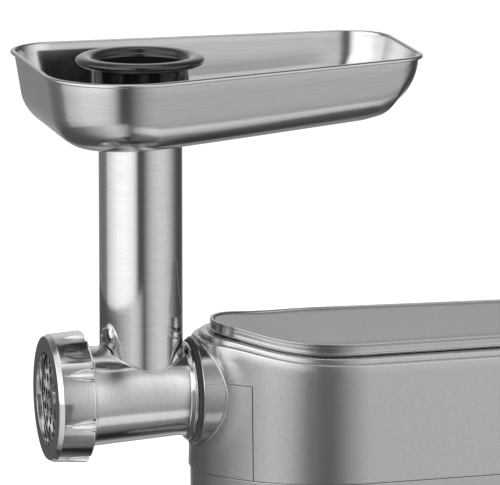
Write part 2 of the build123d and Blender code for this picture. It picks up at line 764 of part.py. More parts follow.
inlet_back_x = body_rear_x - 26.0
with BuildPart() as inlet_body:
    with BuildSketch(Plane.YZ.offset(inlet_back_x)):
        with Locations((0, inlet_z)):
            RectangleRounded(inlet_width, inlet_height, 2.0)
    extrude(amount=body_rear_x + 1.8 - inlet_back_x)
    with BuildSketch(Plane.YZ.offset(body_rear_x + 3)):
        with Locations((0, inlet_z)):
            RectangleRounded(inlet_width - 9.0, inlet_height - 9.0, 3.0)
    extrude(amount=-24.0, mode=Mode.SUBTRACT)

with BuildPart() as inlet_pins:
    for y, z in ((-7.0, inlet_z - 2.0), (7.0, inlet_z - 2.0), (0.0, inlet_z + 2.0)):
        with Locations((body_rear_x - 14.5, y, z)):
            Box(13.0, 2.0, 4.0)

# ---------------------------------------------------------------- writing the pieces
pieces = {
    "barrel_body": barrel_body, "hopper_tube": hopper_tube, "auger_bushing": auger_bushing,
    "plate_key": plate_key, "hole_plate": hole_plate, "auger_screw": auger_screw,
    "cross_blade": cross_blade, "drive_tail": drive_tail, "ring_nut": ring_nut,
    "feed_tray": feed_tray, "tray_collar": tray_collar, "pusher_cup": pusher_cup,
    "pusher_plunger": pusher_plunger, "hub_collar": hub_collar, "hub_seal": hub_seal,
    "hub_sleeve": hub_sleeve, "upper_housing": upper_housing, "front_panel": front_panel,
    "lower_housing": lower_housing, "top_rim": top_rim, "top_panel": top_panel,
    "base_plate": base_plate, "base_screws": base_screws,
    "gearbox_front_plate": gearbox_front_plate,
    "gearbox_rear_plate": gearbox_rear_plate, "gearbox_spacers": gearbox_spacers,
    "gearbox_bearings": gearbox_bearings, "output_bearing": output_bearing,
    "output_shaft": output_shaft, "output_gear": output_gear, "counter_shaft": counter_shaft,
    "counter_pinion": counter_pinion, "counter_gear": counter_gear, "motor_pinion": motor_pinion,
    "motor_shaft": motor_shaft, "rotor_core": rotor_core, "rotor_windings": rotor_windings,
    "commutator": commutator, "cooling_fan": cooling_fan, "stator_core": stator_core,
    "field_windings": field_windings, "motor_end_bracket": motor_end_bracket,
    "motor_rear_bearing": motor_rear_bearing, "motor_tie_rods": motor_tie_rods,
    "motor_cradle": motor_cradle, "motor_brushes": motor_brushes, "brush_holders": brush_holders,
    "knob_bezel": knob_bezel, "speed_knob": speed_knob, "knob_spindle": knob_spindle,
    "switch_body": switch_body, "reverse_button": reverse_button, "circuit_board": circuit_board,
    "lock_button": lock_button, "inlet_body": inlet_body, "inlet_pins": inlet_pins,
    **feet,
}
for name, piece in pieces.items():
    piece.part.label = name
    export_step(piece.part, f"parts/{name}.step")
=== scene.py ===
"""Electric meat grinder: the looks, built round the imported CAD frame. Metres, +X from outlet to rear."""
import json
from math import atan2, cos, degrees, exp, hypot, pi, radians, sin, sqrt, tan

import bmesh
import bpy
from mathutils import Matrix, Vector


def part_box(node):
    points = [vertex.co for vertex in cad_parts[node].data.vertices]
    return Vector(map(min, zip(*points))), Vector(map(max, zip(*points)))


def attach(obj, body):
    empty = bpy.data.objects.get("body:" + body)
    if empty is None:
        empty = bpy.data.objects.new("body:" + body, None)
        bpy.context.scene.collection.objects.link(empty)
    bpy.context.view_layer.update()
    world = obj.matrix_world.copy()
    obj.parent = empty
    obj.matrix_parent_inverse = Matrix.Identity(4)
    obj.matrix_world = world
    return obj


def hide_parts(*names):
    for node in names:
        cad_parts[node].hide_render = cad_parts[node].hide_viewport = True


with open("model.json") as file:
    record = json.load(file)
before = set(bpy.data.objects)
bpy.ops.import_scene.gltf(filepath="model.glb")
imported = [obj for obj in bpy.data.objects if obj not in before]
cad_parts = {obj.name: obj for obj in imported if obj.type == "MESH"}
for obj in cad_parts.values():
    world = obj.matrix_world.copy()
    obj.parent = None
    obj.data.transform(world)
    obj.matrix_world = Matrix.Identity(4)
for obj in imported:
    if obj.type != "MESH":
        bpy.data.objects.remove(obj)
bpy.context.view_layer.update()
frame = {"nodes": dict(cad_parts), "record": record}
MM = 0.001


# ================ places taken from the frame
def low(node):
    """Lowest corner of a CAD node."""
    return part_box(node)[0]


def high(node):
    """Highest corner of a CAD node."""
    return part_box(node)[1]


def centre(node):
    """Middle of a CAD node's box."""
    return (low(node) + high(node)) / 2


tube_x = centre("hopper_tube").x
axis_z = centre("ring_nut").z
tube_radius = high("hopper_tube").y
tube_bore = tube_radius - 1.5 * MM
nut_front = low("ring_nut").x
nut_back = high("ring_nut").x
nut_radius = high("ring_nut").y
barrel_front = low("barrel_body").x
collar_front = low("hub_collar").x
collar_back = high("hub_collar").x
collar_radius = high("hub_collar").y
tray_floor = axis_z + 166.5 * MM
tray_rim = high("feed_tray").z
split_z = (high("lower_housing").z + low("upper_housing").z) / 2
base_z = low("lower_housing").z
shoulder_z = axis_z + 26.5 * MM
nose_tip_x = tube_x + 35 * MM
nose_lift = high("top_rim").z - shoulder_z - 11 * MM
panel_edge_x = high("front_panel").x + 0.3 * MM
panel_top_z = high("front_panel").z + 0.3 * MM
rear_x = high("upper_housing").x - 3 * MM


# ================ node trees and scene objects
class Nodes:
    """Short way to build a node tree."""

    def __init__(self, tree):
        self.tree = tree

    def feed(self, node, socket, value):
        """Link a socket, or set a constant."""
        if hasattr(value, "is_linked"):
            self.tree.links.new(value, node.inputs[socket])
        else:
            node.inputs[socket].default_value = value

    def add(self, kind, inputs=None, **settings):
        """New node with its own settings, its inputs fed by name or number."""
        node = self.tree.nodes.new("ShaderNode" + kind)
        for name, value in settings.items():
            setattr(node, name, value)
        for socket, value in (inputs or {}).items():
            self.feed(node, socket, value)
        return node

    def math(self, operation, a, b=0.0, clamp=False):
        """Math node on sockets or numbers."""
        return self.add("Math", {0: a, 1: b}, operation=operation, use_clamp=clamp).outputs[0]

    def plus(self, a, b):
        """Sum of two sockets or numbers."""
        return self.math("ADD", a, b)

    def times(self, a, b, clamp=False):
        """Product of two sockets or numbers."""
        return self.math("MULTIPLY", a, b, clamp)

    def spread(self, value, low_in, high_in, low_out=0.0, high_out=1.0, shape="LINEAR"):
        """Map a value from one range to another, clamped."""
        node = self.add("MapRange", {"Value": value}, interpolation_type=shape)
        limits = {"From Min": low_in, "From Max": high_in, "To Min": low_out, "To Max": high_out}
        for name, number in limits.items():
            node.inputs[name].default_value = number
        return node.outputs["Result"]

    def ramp(self, angle, stops, half_range):
        """Brightness over an angle in radians; the stops and the half range are in degrees."""
        reach = radians(half_range)
        node = self.add("ValToRGB", {"Fac": self.spread(angle, -reach, reach)})
        elements = node.color_ramp.elements
        elements.remove(elements[1])
        for i, (degree, value) in enumerate(stops):
            place = (degree + half_range) / (2 * half_range)
            element = elements[0] if i == 0 else elements.new(place)
            element.position = place
            element.color = (value, value, value, 1)
        return node.outputs["Color"]


def in_scene(name, data):
    """New object, linked into the scene."""
    obj = bpy.data.objects.new(name, data)
    bpy.context.scene.collection.objects.link(obj)
    return obj


def mesh_in_scene(name, points, faces):
    """New mesh object, linked into the scene."""
    mesh = bpy.data.meshes.new(name)
    mesh.from_pydata([tuple(p) for p in points], [], faces)
    return in_scene(name, mesh)


# ================ camera and light
view_azimuth = radians(14.155)
view_elevation = radians(11.126)
view_back = Vector((-sin(view_azimuth) * cos(view_elevation), -cos(view_azimuth) * cos(view_elevation),
                    sin(view_elevation)))
view_right = Vector((cos(view_azimuth), -sin(view_azimuth), 0))
view_up = view_back.cross(view_right)


def add_camera():
    """Long-lens camera that looks at the grinder head slightly from above and from the outlet's side."""
    data = bpy.data.cameras.new("camera")
    data.lens = 428.64
    data.sensor_width = 36
    data.clip_end = 50
    camera = in_scene("camera", data)
    aim_right = 0.0692
    aim_up = 0.0958
    distance = 3.789
    aim = Vector((tube_x, 0, axis_z)) + view_right * aim_right + view_up * aim_up
    place = aim + view_back * distance
    for row in range(3):
        for column, axis in enumerate((view_right, view_up, view_back, place)):
            camera.matrix_world[row][column] = axis[row]
    bpy.context.scene.camera = camera


# brightness of the studio round the camera direction: soft boxes left and right, a dark gap at the camera
light_round = (
    (-180, 0.50), (-150, 0.22), (-124, 0.20), (-109, 0.28), (-102, 0.72), (-88, 0.96), (-64, 1.30),
    (-44, 1.36), (-26, 1.24), (-16, 0.98), (-9, 0.48), (-4, 0.12), (3, 0.10), (8, 0.12), (13, 0.22),
    (21, 0.43), (34, 0.68), (54, 0.82), (74, 0.76), (90, 0.54), (104, 0.28), (116, 0.12), (140, 0.07),
    (158, 0.18), (180, 0.50),
)
# and how it changes from straight down to straight up
light_height = (
    (-90, 0.18), (-72, 0.24), (-61, 0.40), (-55, 1.10), (-42, 1.28), (-36, 0.64), (-28, 0.68), (-20, 0.86),
    (-11, 1.0), (2, 1.28), (14, 1.48), (26, 1.48), (44, 0.88), (62, 0.66), (76, 0.9), (90, 1.3),
)


def add_world():
    """White backdrop for the camera, soft studio boxes for reflections."""
    world = bpy.data.worlds.new("studio")
    world.use_nodes = True
    bpy.context.scene.world = world
    world.node_tree.nodes.clear()
    sky = Nodes(world.node_tree)
    direction = sky.add("TexCoord").outputs["Generated"]
    turned = sky.add("Mapping", {"Vector": direction, "Rotation": (0, 0, view_azimuth)})
    parts = sky.add("SeparateXYZ", {"Vector": turned.outputs["Vector"]}).outputs
    azimuth = sky.math("ARCTAN2", parts["X"], sky.times(parts["Y"], -1.0))
    elevation = sky.math("ARCSINE", parts["Z"])
    pattern = sky.times(sky.ramp(azimuth, light_round, 180), sky.ramp(elevation, light_height, 90))
    # straight overhead the pattern round the horizon fades into one even soft box
    crown = sky.spread(elevation, radians(58), radians(80), shape="SMOOTHSTEP")
    faded = sky.times(pattern, sky.math("SUBTRACT", 1.0, crown))
    strength = sky.plus(faded, sky.times(crown, 1.25))
    studio = sky.add("Background", {"Color": (1, 1, 1, 1), "Strength": strength})
    backdrop = sky.add("Background", {"Color": (1, 1, 1, 1), "Strength": 1.0})
    seen = sky.add("LightPath").outputs["Is Camera Ray"]
    choice = sky.add("MixShader", {"Fac": seen, 1: studio.outputs[0], 2: backdrop.outputs[0]})
    sky.add("OutputWorld", {"Surface": choice.outputs["Shader"]})


# brightness of the low reflector at the housing's nose, by degrees round from the camera
reflector_round = (
    (-140, 0.10), (-112, 0.10), (-92, 0.12), (-74, 0.22), (-52, 0.54), (-32, 0.82), (-20, 0.66), (-10, 0.32),
    (-4, 0.10),
)


def add_reflector():
    """Low curved card left of the housing; only reflections see it."""
    centre_x = -0.06
    radius = 0.40
    top = 0.196
    first = reflector_round[0][0]
    last = reflector_round[-1][0]
    points = []
    steps = 48
    for k in range(steps + 1):
        turn = radians(first + (last - first) * k / steps)
        away = view_back * cos(turn) / cos(view_elevation) + view_right * sin(turn)
        for z in (-0.5, top):
            points.append((centre_x + away.x * radius, away.y * radius, z))
    faces = [(2 * k, 2 * k + 2, 2 * k + 3, 2 * k + 1) for k in range(steps)]
    card = mesh_in_scene("reflector", points, faces)
    for ray in ("camera", "diffuse", "shadow", "transmission"):
        setattr(card, "visible_" + ray, False)
    material = bpy.data.materials.new("reflector")
    material.use_nodes = True
    material.node_tree.nodes.clear()
    paint = Nodes(material.node_tree)
    parts = paint.add("SeparateXYZ", {"Vector": paint.add("TexCoord").outputs["Object"]}).outputs
    around = paint.math("ARCTAN2", paint.math("SUBTRACT", parts["X"], centre_x),
                        paint.times(parts["Y"], -1.0))
    shifted = [(degree - degrees(view_azimuth), value) for degree, value in reflector_round]
    glow = paint.add("Emission", {"Strength": paint.ramp(around, shifted, 180)})
    paint.add("OutputMaterial", {"Surface": glow.outputs["Emission"]})
    card.data.materials.append(material)


def add_stage():
    """Pale floor and a soft light overhead."""
    side = 9.0
    floor = mesh_in_scene("floor", [(-side, -side, 0), (side, -side, 0), (side, side, 0), (-side, side, 0)],
                          [(0, 1, 2, 3)])
    floor.visible_glossy = False
    pale = Look("pale_floor", Base_Color=(0.9, 0.9, 0.9, 1), Roughness=0.8, Specular_IOR_Level=0.0,
                Emission_Color=(1, 1, 1, 1), Emission_Strength=0.42)
    floor.data.materials.append(pale.material)
    lamp = bpy.data.lights.new("overhead", "AREA")
    lamp.shape = "DISK"
    lamp.size = 1.5
    lamp.energy = 22
    overhead = in_scene("overhead", lamp)
    overhead.location = (-0.3, -0.5, 2.2)
    overhead.visible_glossy = False
    bpy.context.scene.view_settings.view_transform = "Standard"


# ================ mesh helpers
def mm(points, x=0.0, y=0.0):
    """Outline points in millimetres, placed from an origin in metres; a third value is a corner radius."""
    return [(x + p[0] * MM, y + p[1] * MM) + tuple(v * MM for v in p[2:]) for p in points]


def soften(points, steps=5):
    """Round the corners of a closed 2D outline; a point's third value is its corner's radius."""
    out = []
    for i, point in enumerate(points):
        radius = point[2] if len(point) > 2 else 0.0
        here = Vector(point[:2])
        a = Vector(points[i - 1][:2]) - here
        b = Vector(points[(i + 1) % len(points)][:2]) - here
        reach = min(radius, 0.48 * a.length, 0.48 * b.length)
        if reach < 1e-6:
            out.append(tuple(here))
            continue
        start = here + a.normalized() * reach
        end = here + b.normalized() * reach
        for k in range(steps + 1):
            t = k / steps
            out.append(tuple(start * (1 - t) ** 2 + here * 2 * t * (1 - t) + end * t ** 2))
    return out


def grid(rings, close_ends=True):
    """Points and quads of a run of closed rings of as many points each."""
    count = len(rings[0])
    faces = []
    for i in range(len(rings) if close_ends else len(rings) - 1):
        j = (i + 1) % len(rings)
        for k in range(count):
            m = (k + 1) % count
            faces.append((i * count + k, i * count + m, j * count + m, j * count + k))
    return [p for ring in rings for p in ring], faces


def circle(count):
    """Unit circle points."""
    return [(cos(2 * pi * k / count), sin(2 * pi * k / count)) for k in range(count)]


def lathe_x(profile, segments):
    """Turn a closed outline of (x, radius) points about the barrel's axis."""
    return grid([[(x, r * c, axis_z + r * s) for c, s in circle(segments)] for x, r in soften(profile)])


def lathe_z(profile, x, y=0.0, segments=160):
    """Turn a closed outline of (radius, z) points about an upright line."""
    return grid([[(x + r * c, y + r * s, z) for c, s in circle(segments)] for r, z in soften(profile)])


def lathe_y(profile, x, z, segments=128):
    """Turn a closed outline of (y, radius) points about a line along Y."""
    return grid([[(x + r * c, y, z + r * s) for c, s in circle(segments)] for y, r in soften(profile)])


def finish_mesh(mesh, sharp=35.0):
    """Merge doubles, drop slivers, point the faces outwards, shade smooth but for the sharp edges."""
    bm = bmesh.new()
    bm.from_mesh(mesh)
    bmesh.ops.remove_doubles(bm, verts=bm.verts, dist=3e-6)
    bmesh.ops.dissolve_degenerate(bm, edges=bm.edges, dist=2e-6)
    bmesh.ops.recalc_face_normals(bm, faces=bm.faces)
    for face in bm.faces:
        face.smooth = True
    for edge in bm.edges:
        edge.smooth = len(edge.link_faces) != 2 or edge.calc_face_angle(0.0) < radians(sharp)
    bm.to_mesh(mesh)
    bm.free()
    mesh.update()


def raw_object(name, shape):
    """Object from (points, faces), faces pointing outwards."""
    obj = mesh_in_scene(name, *shape)
    finish_mesh(obj.data)
    return obj


def piece(name, shape, body, slot, replaced=(), look=None, cuts=(), joins=(), sharp=35.0):
    """Finished piece on its body: cutters taken away or joined, the slot's material or the look named."""
    obj = raw_object(name, shape)
    for operation, tools in (("UNION", joins), ("DIFFERENCE", cuts)):
        for tool in tools:
            boolean(obj, tool, operation)
    finish_mesh(obj.data, sharp)
    obj.data.materials.clear()
    obj.data.materials.append(looks[look or slot])
    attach(obj, body)
    if replaced:
        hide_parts(*replaced)


def boolean(obj, tool, operation):
    """Apply one exact boolean and delete the tool."""
    step = obj.modifiers.new("step", "BOOLEAN")
    step.operation = operation
    step.solver = "EXACT"
    step.object = tool
    bpy.context.view_layer.update()
    result = bpy.data.meshes.new_from_object(obj.evaluated_get(bpy.context.evaluated_depsgraph_get()))
    obj.modifiers.clear()
    old = obj.data
    obj.data = result
    bpy.data.meshes.remove(old)
    result.name = obj.name
    data = tool.data
    bpy.data.objects.remove(tool)
    bpy.data.meshes.remove(data)


def box_tool(lowest, highest):
    """Box between two corners, for cutting."""
    xs, ys, zs = zip(lowest, highest)
    points = [(x, y, z) for x in xs for y in ys for z in zs]
    return raw_object("tool", (points, [(0, 1, 3, 2), (4, 6, 7, 5), (0, 4, 5, 1), (2, 3, 7, 6), (0, 2, 6, 4),
                                        (1, 5, 7, 3)]))


def prism(rings):
    """Loose solid from a run of rings, closed by a flat face at each end, for cutting."""
    points, faces = grid(rings, close_ends=False)
    ends = (range(len(rings[0])), range(len(points) - len(rings[0]), len(points)))
    return raw_object("tool", (points, faces + [tuple(end) for end in ends]))


def rod_tool(start, end, radius, segments=96):
    """Round rod between two points, for cutting."""
    start = Vector(start)
    end = Vector(end)
    turn = (end - start).to_track_quat("Z", "Y")
    return prism([[place + turn @ Vector((radius * c, radius * s, 0)) for c, s in circle(segments)]
                  for place in (start, end)])


def bead(path, outward, radius, flat=1.0, sides=12):
    """Round bead along a closed path; outward gives each point's first cross direction."""
    rings = []
    count = len(path)
    for i, place in enumerate(path):
        along = (path[(i + 1) % count] - path[i - 1]).normalized()
        side = outward[i] - along * outward[i].dot(along)
        side.normalize()
        other = along.cross(side)
        rings.append([place + side * radius * c + other * radius * flat * s for c, s in circle(sides)])
    return grid(rings)


# ================ materials
looks = {}


def tint(colour, factor):
    """Colour made darker or lighter."""
    return tuple(min(1.0, v * factor) for v in colour)


class Look(Nodes):
    """One procedural material; object coordinates are metres in the CAD frame."""

    def __init__(self, name, **values):
        """Start a material with constant values on the shader's own sockets."""
        self.name = name
        self.material = bpy.data.materials.new(name)
        self.material.use_nodes = True
        super().__init__(self.material.node_tree)
        self.shader = self.tree.nodes["Principled BSDF"]
        self.place = self.add("TexCoord").outputs["Object"]
        for socket, value in values.items():
            self.shader.inputs[socket.replace("_", " ")].default_value = value

    def stretched(self, scale):
        """Object coordinates multiplied axis by axis."""
        return self.add("Mapping", {"Scale": scale, "Vector": self.place}).outputs["Vector"]

    def noise(self, scale, detail=3.0, rough=0.55, distortion=0.0):
        """Fractal noise; scale is one number or three, in cycles per metre."""
        vector = self.place
        if isinstance(scale, tuple):
            vector = self.stretched(scale)
            scale = 1.0
        inputs = {"Vector": vector, "Scale": scale, "Detail": detail, "Roughness": rough}
        return self.add("TexNoise", {**inputs, "Distortion": distortion}).outputs["Fac"]

    def cells(self, scale, random_out=True):
        """Voronoi cells: one random value each, or the distance to their middles."""
        node = self.add("TexVoronoi", {"Scale": scale, "Vector": self.place})
        if not random_out:
            return node.outputs["Distance"]
        return self.add("SeparateColor", {"Color": node.outputs["Color"]}).outputs["Red"]

    def wave(self, direction, scale, distortion):
        """Bands of a wave across the piece."""
        inputs = {"Scale": scale, "Distortion": distortion, "Vector": self.place}
        return self.add("TexWave", inputs, bands_direction=direction).outputs["Fac"]

    def turned_lines(self, frequency, axis="X", height=None):
        """Lines as a lathe leaves them about an axis along X or Z: round the sides, in rings on the faces."""
        parts = self.add("SeparateXYZ", {"Vector": self.place}).outputs
        along = parts[axis]
        if axis == "X":
            across = (parts["Y"], self.math("SUBTRACT", parts["Z"], height or axis_z))
        else:
            across = (self.math("SUBTRACT", parts["X"], tube_x), parts["Y"])
        squares = self.plus(*[self.times(v, v) for v in across])
        total = self.plus(along, self.math("SQRT", squares))
        angle = self.math("ARCTAN2", across[1], across[0])
        vector = self.add("CombineXYZ", {"X": self.times(total, frequency),
                                         "Y": self.times(angle, 1.6)}).outputs["Vector"]
        inputs = {"Scale": 1.0, "Detail": 3.0, "Roughness": 0.7, "Vector": vector}
        return self.add("TexNoise", inputs, noise_dimensions="2D").outputs["Fac"]

    def blend(self, factor, a, b):
        """Mix two colours."""
        colours = [v if hasattr(v, "is_linked") else (*v, 1.0) for v in (a, b)]
        return self.add("Mix", {0: factor, 6: colours[0], 7: colours[1]}, data_type="RGBA").outputs[2]

    def bevelled(self, radius):
        """Normal that rounds sharp edges by a radius."""
        return self.add("Bevel", {"Radius": radius}, samples=6).outputs["Normal"]

    def worn_edges(self, radius):
        """1 along outside edges that hands and tools rub, 0 on the flats, broken up by noise."""
        plain = self.add("NewGeometry").outputs["Normal"]
        dot = self.add("VectorMath", {0: self.bevelled(radius), 1: plain}, operation="DOT_PRODUCT")
        bend = self.math("SUBTRACT", 1.0, dot.outputs["Value"])
        broken = self.times(bend, self.spread(self.noise(420, 4), 0.35, 0.6, 0.25, 1.0))
        return self.times(broken, 3.0, clamp=True)

    def finish(self, colour, roughness, *layers, edge=None):
        """Feed the shader: colour, roughness, and bumps from (height, strength, distance) layers."""
        normal = self.bevelled(edge) if edge else None
        for height, strength, distance in layers:
            bump = self.add("Bump", {"Strength": strength, "Distance": distance, "Height": height})
            if normal:
                self.feed(bump, "Normal", normal)
            normal = bump.outputs["Normal"]
        for socket, value in (("Base Color", colour), ("Roughness", roughness), ("Normal", normal)):
            self.feed(self.shader, socket, value)
        looks[self.name] = self.material


def turned_steel(name, bright, smooth, axis, lines=900.0, edge=0.25 * MM):
    """Stainless steel with the fine lines that a lathe or a polishing belt leaves round it."""
    look = Look(name, Metallic=1.0)
    fine = look.turned_lines(lines, axis)
    coarse = look.turned_lines(lines * 0.16, axis)
    tone = look.plus(look.times(fine, 0.6), look.times(coarse, 0.4))
    light = bright * 1.05
    colour = look.blend(look.spread(tone, 0.34, 0.66), (bright * 0.95,) * 3, (light, light, light * 0.995))
    marks = look.spread(look.noise((260, 260, 60), 5, 0.7, 0.4), 0.62, 0.76, 0.0, 0.03)
    base = look.plus(look.spread(look.noise(14, 4), 0.3, 0.7, smooth * 0.85, smooth * 1.2), marks)
    look.finish(colour, look.plus(base, look.spread(fine, 0.3, 0.7, -0.008, 0.012)),
                (fine, 0.06, 0.01 * MM), (coarse, 0.03, 0.02 * MM), edge=edge)


def satin_sheet_steel(name, bright, smooth, grain):
    """Drawn stainless sheet with a soft grain; grain gives cycles per metre along each axis."""
    look = Look(name, Metallic=1.0)
    brushed = look.noise(grain, 4, 0.65)
    light = bright * 1.05
    colour = look.blend(look.spread(brushed, 0.3, 0.7), (bright * 0.94,) * 3, (light, light, bright * 1.045))
    rub = look.spread(look.noise(60, 6, 0.7, 0.6), 0.60, 0.76, 0.0, 0.04)
    sheen = look.spread(look.noise(9, 3), 0.3, 0.7, smooth * 0.85, smooth * 1.15)
    look.finish(colour, look.plus(sheen, rub), (brushed, 0.05, 0.02 * MM),
                (look.noise(26, 2), 0.04, 0.20 * MM), edge=0.3 * MM)


def metallic_paint(name, colour, metal, smooth, coat, flake=2200.0, flake_strength=0.06, edge=0.3 * MM):
    """Metallic paint: flakes that sparkle unevenly, orange peel under a clear coat, edges rubbed brighter."""
    look = Look(name, Metallic=metal, Coat_Weight=coat, Coat_Roughness=0.14)
    flakes = look.cells(flake)
    speck = look.plus(look.times(flakes, 0.55), look.times(look.noise(flake * 0.8, 2), 0.45))
    base = look.blend(look.spread(speck, 0.2, 0.8), tint(colour, 0.91), tint(colour, 1.08))
    grimy = look.blend(look.spread(look.noise(11, 3), 0.45, 0.75, 0.0, 0.10), base, tint(colour, 0.8))
    worn = look.blend(look.times(look.worn_edges(0.5 * MM), 0.35), grimy, tint(colour, 1.5))
    roughness = look.plus(look.spread(flakes, 0.0, 1.0, smooth * 0.86, smooth * 1.14),
                          look.spread(look.noise(35, 5, 0.7), 0.5, 0.8, 0.0, 0.02))
    peel = look.noise(240, 2)
    look.finish(worn, roughness, (flakes, flake_strength, 0.03 * MM), (peel, 0.03, 0.08 * MM), edge=edge)


def moulded_plastic(name, colour, smooth, texture=900.0, depth=0.03 * MM, coat=0.0, light=1.35):
    """Moulded plastic: faint mottling, fine texture, light scuffs and edges rubbed paler."""
    look = Look(name, Coat_Weight=coat, Coat_Roughness=0.06)
    mottle = look.noise(38, 4)
    grain = look.noise(texture, 2)
    scuffs = look.spread(look.noise((90, 700, 210), 5, 0.7, 0.8), 0.62, 0.74)
    base = look.blend(look.spread(mottle, 0.3, 0.7), tint(colour, 0.85), tint(colour, 1.15))
    paler = tuple(min(1.0, v * light + 0.02) for v in colour)
    worn = look.blend(look.times(look.worn_edges(0.4 * MM), 0.5), base, paler)
    roughness = look.plus(look.spread(grain, 0.3, 0.7, smooth * 0.85, smooth * 1.15),
                          look.times(scuffs, 0.10))
    look.finish(worn, roughness, (grain, 0.15, depth), (mottle, 0.05, 0.1 * MM), edge=0.3 * MM)


def soft_rubber(name, colour):
    """Matt rubber with a bloom, fine grain and a few dust specks."""
    look = Look(name, Sheen_Weight=0.15, Sheen_Roughness=0.5)
    grain = look.noise(1600, 2)
    dust = look.spread(look.cells(700, random_out=False), 0.0, 0.10, 1.0, 0.0)
    bloom = look.spread(look.noise(70, 5, 0.6), 0.35, 0.7)
    base = look.blend(bloom, colour, tuple(v * 1.7 + 0.006 for v in colour))
    look.finish(look.blend(look.times(dust, 0.25), base, (0.25, 0.25, 0.24)),
                look.spread(grain, 0.3, 0.7, 0.55, 0.78), (grain, 0.3, 0.05 * MM), edge=0.3 * MM)


def machined_metal(name, colour, smooth, oil):
    """Cut metal: tool lines about the shaft, small stains, sometimes a film of grease."""
    look = Look(name, Metallic=1.0)
    cut = look.turned_lines(700.0)
    stain = look.noise(120, 5, 0.65, 0.3)
    base = look.blend(look.spread(cut, 0.3, 0.7), tint(colour, 0.84), tint(colour, 1.08))
    stained = look.blend(look.spread(stain, 0.55, 0.75, 0.0, 0.35 + oil), base, tint(colour, 0.55))
    roughness = look.plus(look.spread(cut, 0.3, 0.7, smooth * 0.8, smooth * 1.2),
                          look.spread(stain, 0.5, 0.75, 0.0, 0.12))
    look.finish(stained, roughness, (cut, 0.2, 0.03 * MM), edge=0.25 * MM)


def layered_steel(name):
    """Stack of thin motor laminations, a line every half millimetre along the shaft, with varnish runs."""
    look = Look(name, Metallic=0.9)
    lines = look.wave("X", 1.0 / (0.5 * MM) / 20.0 * pi, 0.3)
    varnish = look.noise(85, 5, 0.6)
    base = look.blend(lines, (0.10, 0.10, 0.105), (0.33, 0.33, 0.34))
    look.finish(look.blend(look.spread(varnish, 0.5, 0.75, 0.0, 0.6), base, (0.16, 0.08, 0.03)),
                look.spread(varnish, 0.3, 0.8, 0.5, 0.25), (lines, 0.5, 0.1 * MM), edge=0.25 * MM)


def wound_copper(name):
    """Enamelled copper wire laid in turns about the motor's shaft, varnished."""
    look = Look(name, Metallic=0.75, Coat_Weight=0.5, Coat_Roughness=0.15)
    turns = look.turned_lines(1700.0, height=centre("motor_shaft").z)
    wires = look.wave("DIAGONAL", 260.0, 1.2)
    base = look.blend(wires, (0.30, 0.10, 0.03), (0.78, 0.36, 0.14))
    look.finish(look.blend(look.spread(turns, 0.4, 0.7, 0.0, 0.5), base, (0.42, 0.16, 0.05)),
                look.spread(turns, 0.3, 0.7, 0.25, 0.4), (wires, 0.6, 0.2 * MM), edge=0.25 * MM)


def printed_board(name):
    """Circuit board: green lacquer over faint copper tracks."""
    look = Look(name, Coat_Weight=0.6, Coat_Roughness=0.12)
    bricks = look.add("TexBrick", {
        "Scale": 160.0, "Vector": look.stretched((1, 0.2, 1)), "Color1": (0.012, 0.075, 0.030, 1),
        "Color2": (0.015, 0.090, 0.038, 1), "Mortar": (0.10, 0.20, 0.05, 1), "Mortar Size": 0.05,
    })
    haze = look.noise(90, 4)
    colour = look.blend(look.spread(haze, 0.5, 0.8, 0.0, 0.4), bricks.outputs["Color"], (0.02, 0.05, 0.02))
    look.finish(colour, look.spread(haze, 0.3, 0.7, 0.28, 0.42),
                (bricks.outputs["Fac"], 0.4, 0.05 * MM), (haze, 0.05, 0.05 * MM))


def pressed_carbon(name):
    """Dull, slightly glittering carbon of the motor brushes."""
    look = Look(name, Metallic=0.3)
    flecks = look.cells(2600)
    look.finish(look.blend(look.spread(flecks, 0.75, 1.0), (0.018, 0.018, 0.020), (0.09, 0.09, 0.095)),
                look.spread(flecks, 0.0, 1.0, 0.42, 0.62), (flecks, 0.25, 0.04 * MM), edge=0.2 * MM)


turned_steel("polished_steel", 0.70, 0.085, "X")
turned_steel("tube_steel", 0.70, 0.075, "Z", lines=800.0)
turned_steel("nut_steel", 0.80, 0.075, "X", lines=800.0, edge=0.12 * MM)
satin_sheet_steel("satin_steel", 0.64, 0.15, (30, 30, 1100))
metallic_paint("housing_paint", (0.54, 0.552, 0.543), 0.95, 0.19, 0.1, flake_strength=0.04)
metallic_paint("rim_paint", (0.52, 0.53, 0.522), 0.97, 0.13, 0.2, edge=0.12 * MM)
metallic_paint("panel_satin", (0.335, 0.344, 0.337), 0.9, 0.27, 0.0, flake=2600.0)
metallic_paint("lower_paint", (0.50, 0.511, 0.503), 0.93, 0.21, 0.1, flake_strength=0.03)
moulded_plastic("black_gloss", (0.012, 0.012, 0.013), 0.10, texture=300, depth=0.01 * MM, coat=0.6)
moulded_plastic("gear_plastic", (0.62, 0.60, 0.52), 0.42, texture=500, light=1.1)
moulded_plastic("dark_plastic", (0.028, 0.029, 0.030), 0.38)
moulded_plastic("pale_print", (0.62, 0.63, 0.62), 0.45)
moulded_plastic("dark_print", (0.03, 0.03, 0.032), 0.5)
soft_rubber("seal_rubber", (0.014, 0.014, 0.014))
soft_rubber("foot_rubber", (0.03, 0.03, 0.031))
for values in (
    # colour, roughness and how much grease
    ("tool_steel", (0.70, 0.70, 0.71), 0.16, 0.0), ("hub_aluminium", (0.62, 0.63, 0.64), 0.3, 0.0),
    ("gear_steel", (0.42, 0.42, 0.43), 0.28, 0.25), ("bearing_steel", (0.60, 0.60, 0.61), 0.16, 0.1),
    ("bronze", (0.58, 0.36, 0.17), 0.3, 0.15), ("contact_brass", (0.76, 0.56, 0.24), 0.24, 0.0),
    ("zinc", (0.52, 0.54, 0.55), 0.36, 0.0),
):
    machined_metal(*values)
layered_steel("lamination")
wound_copper("winding")
pressed_carbon("brush_carbon")
printed_board("board")

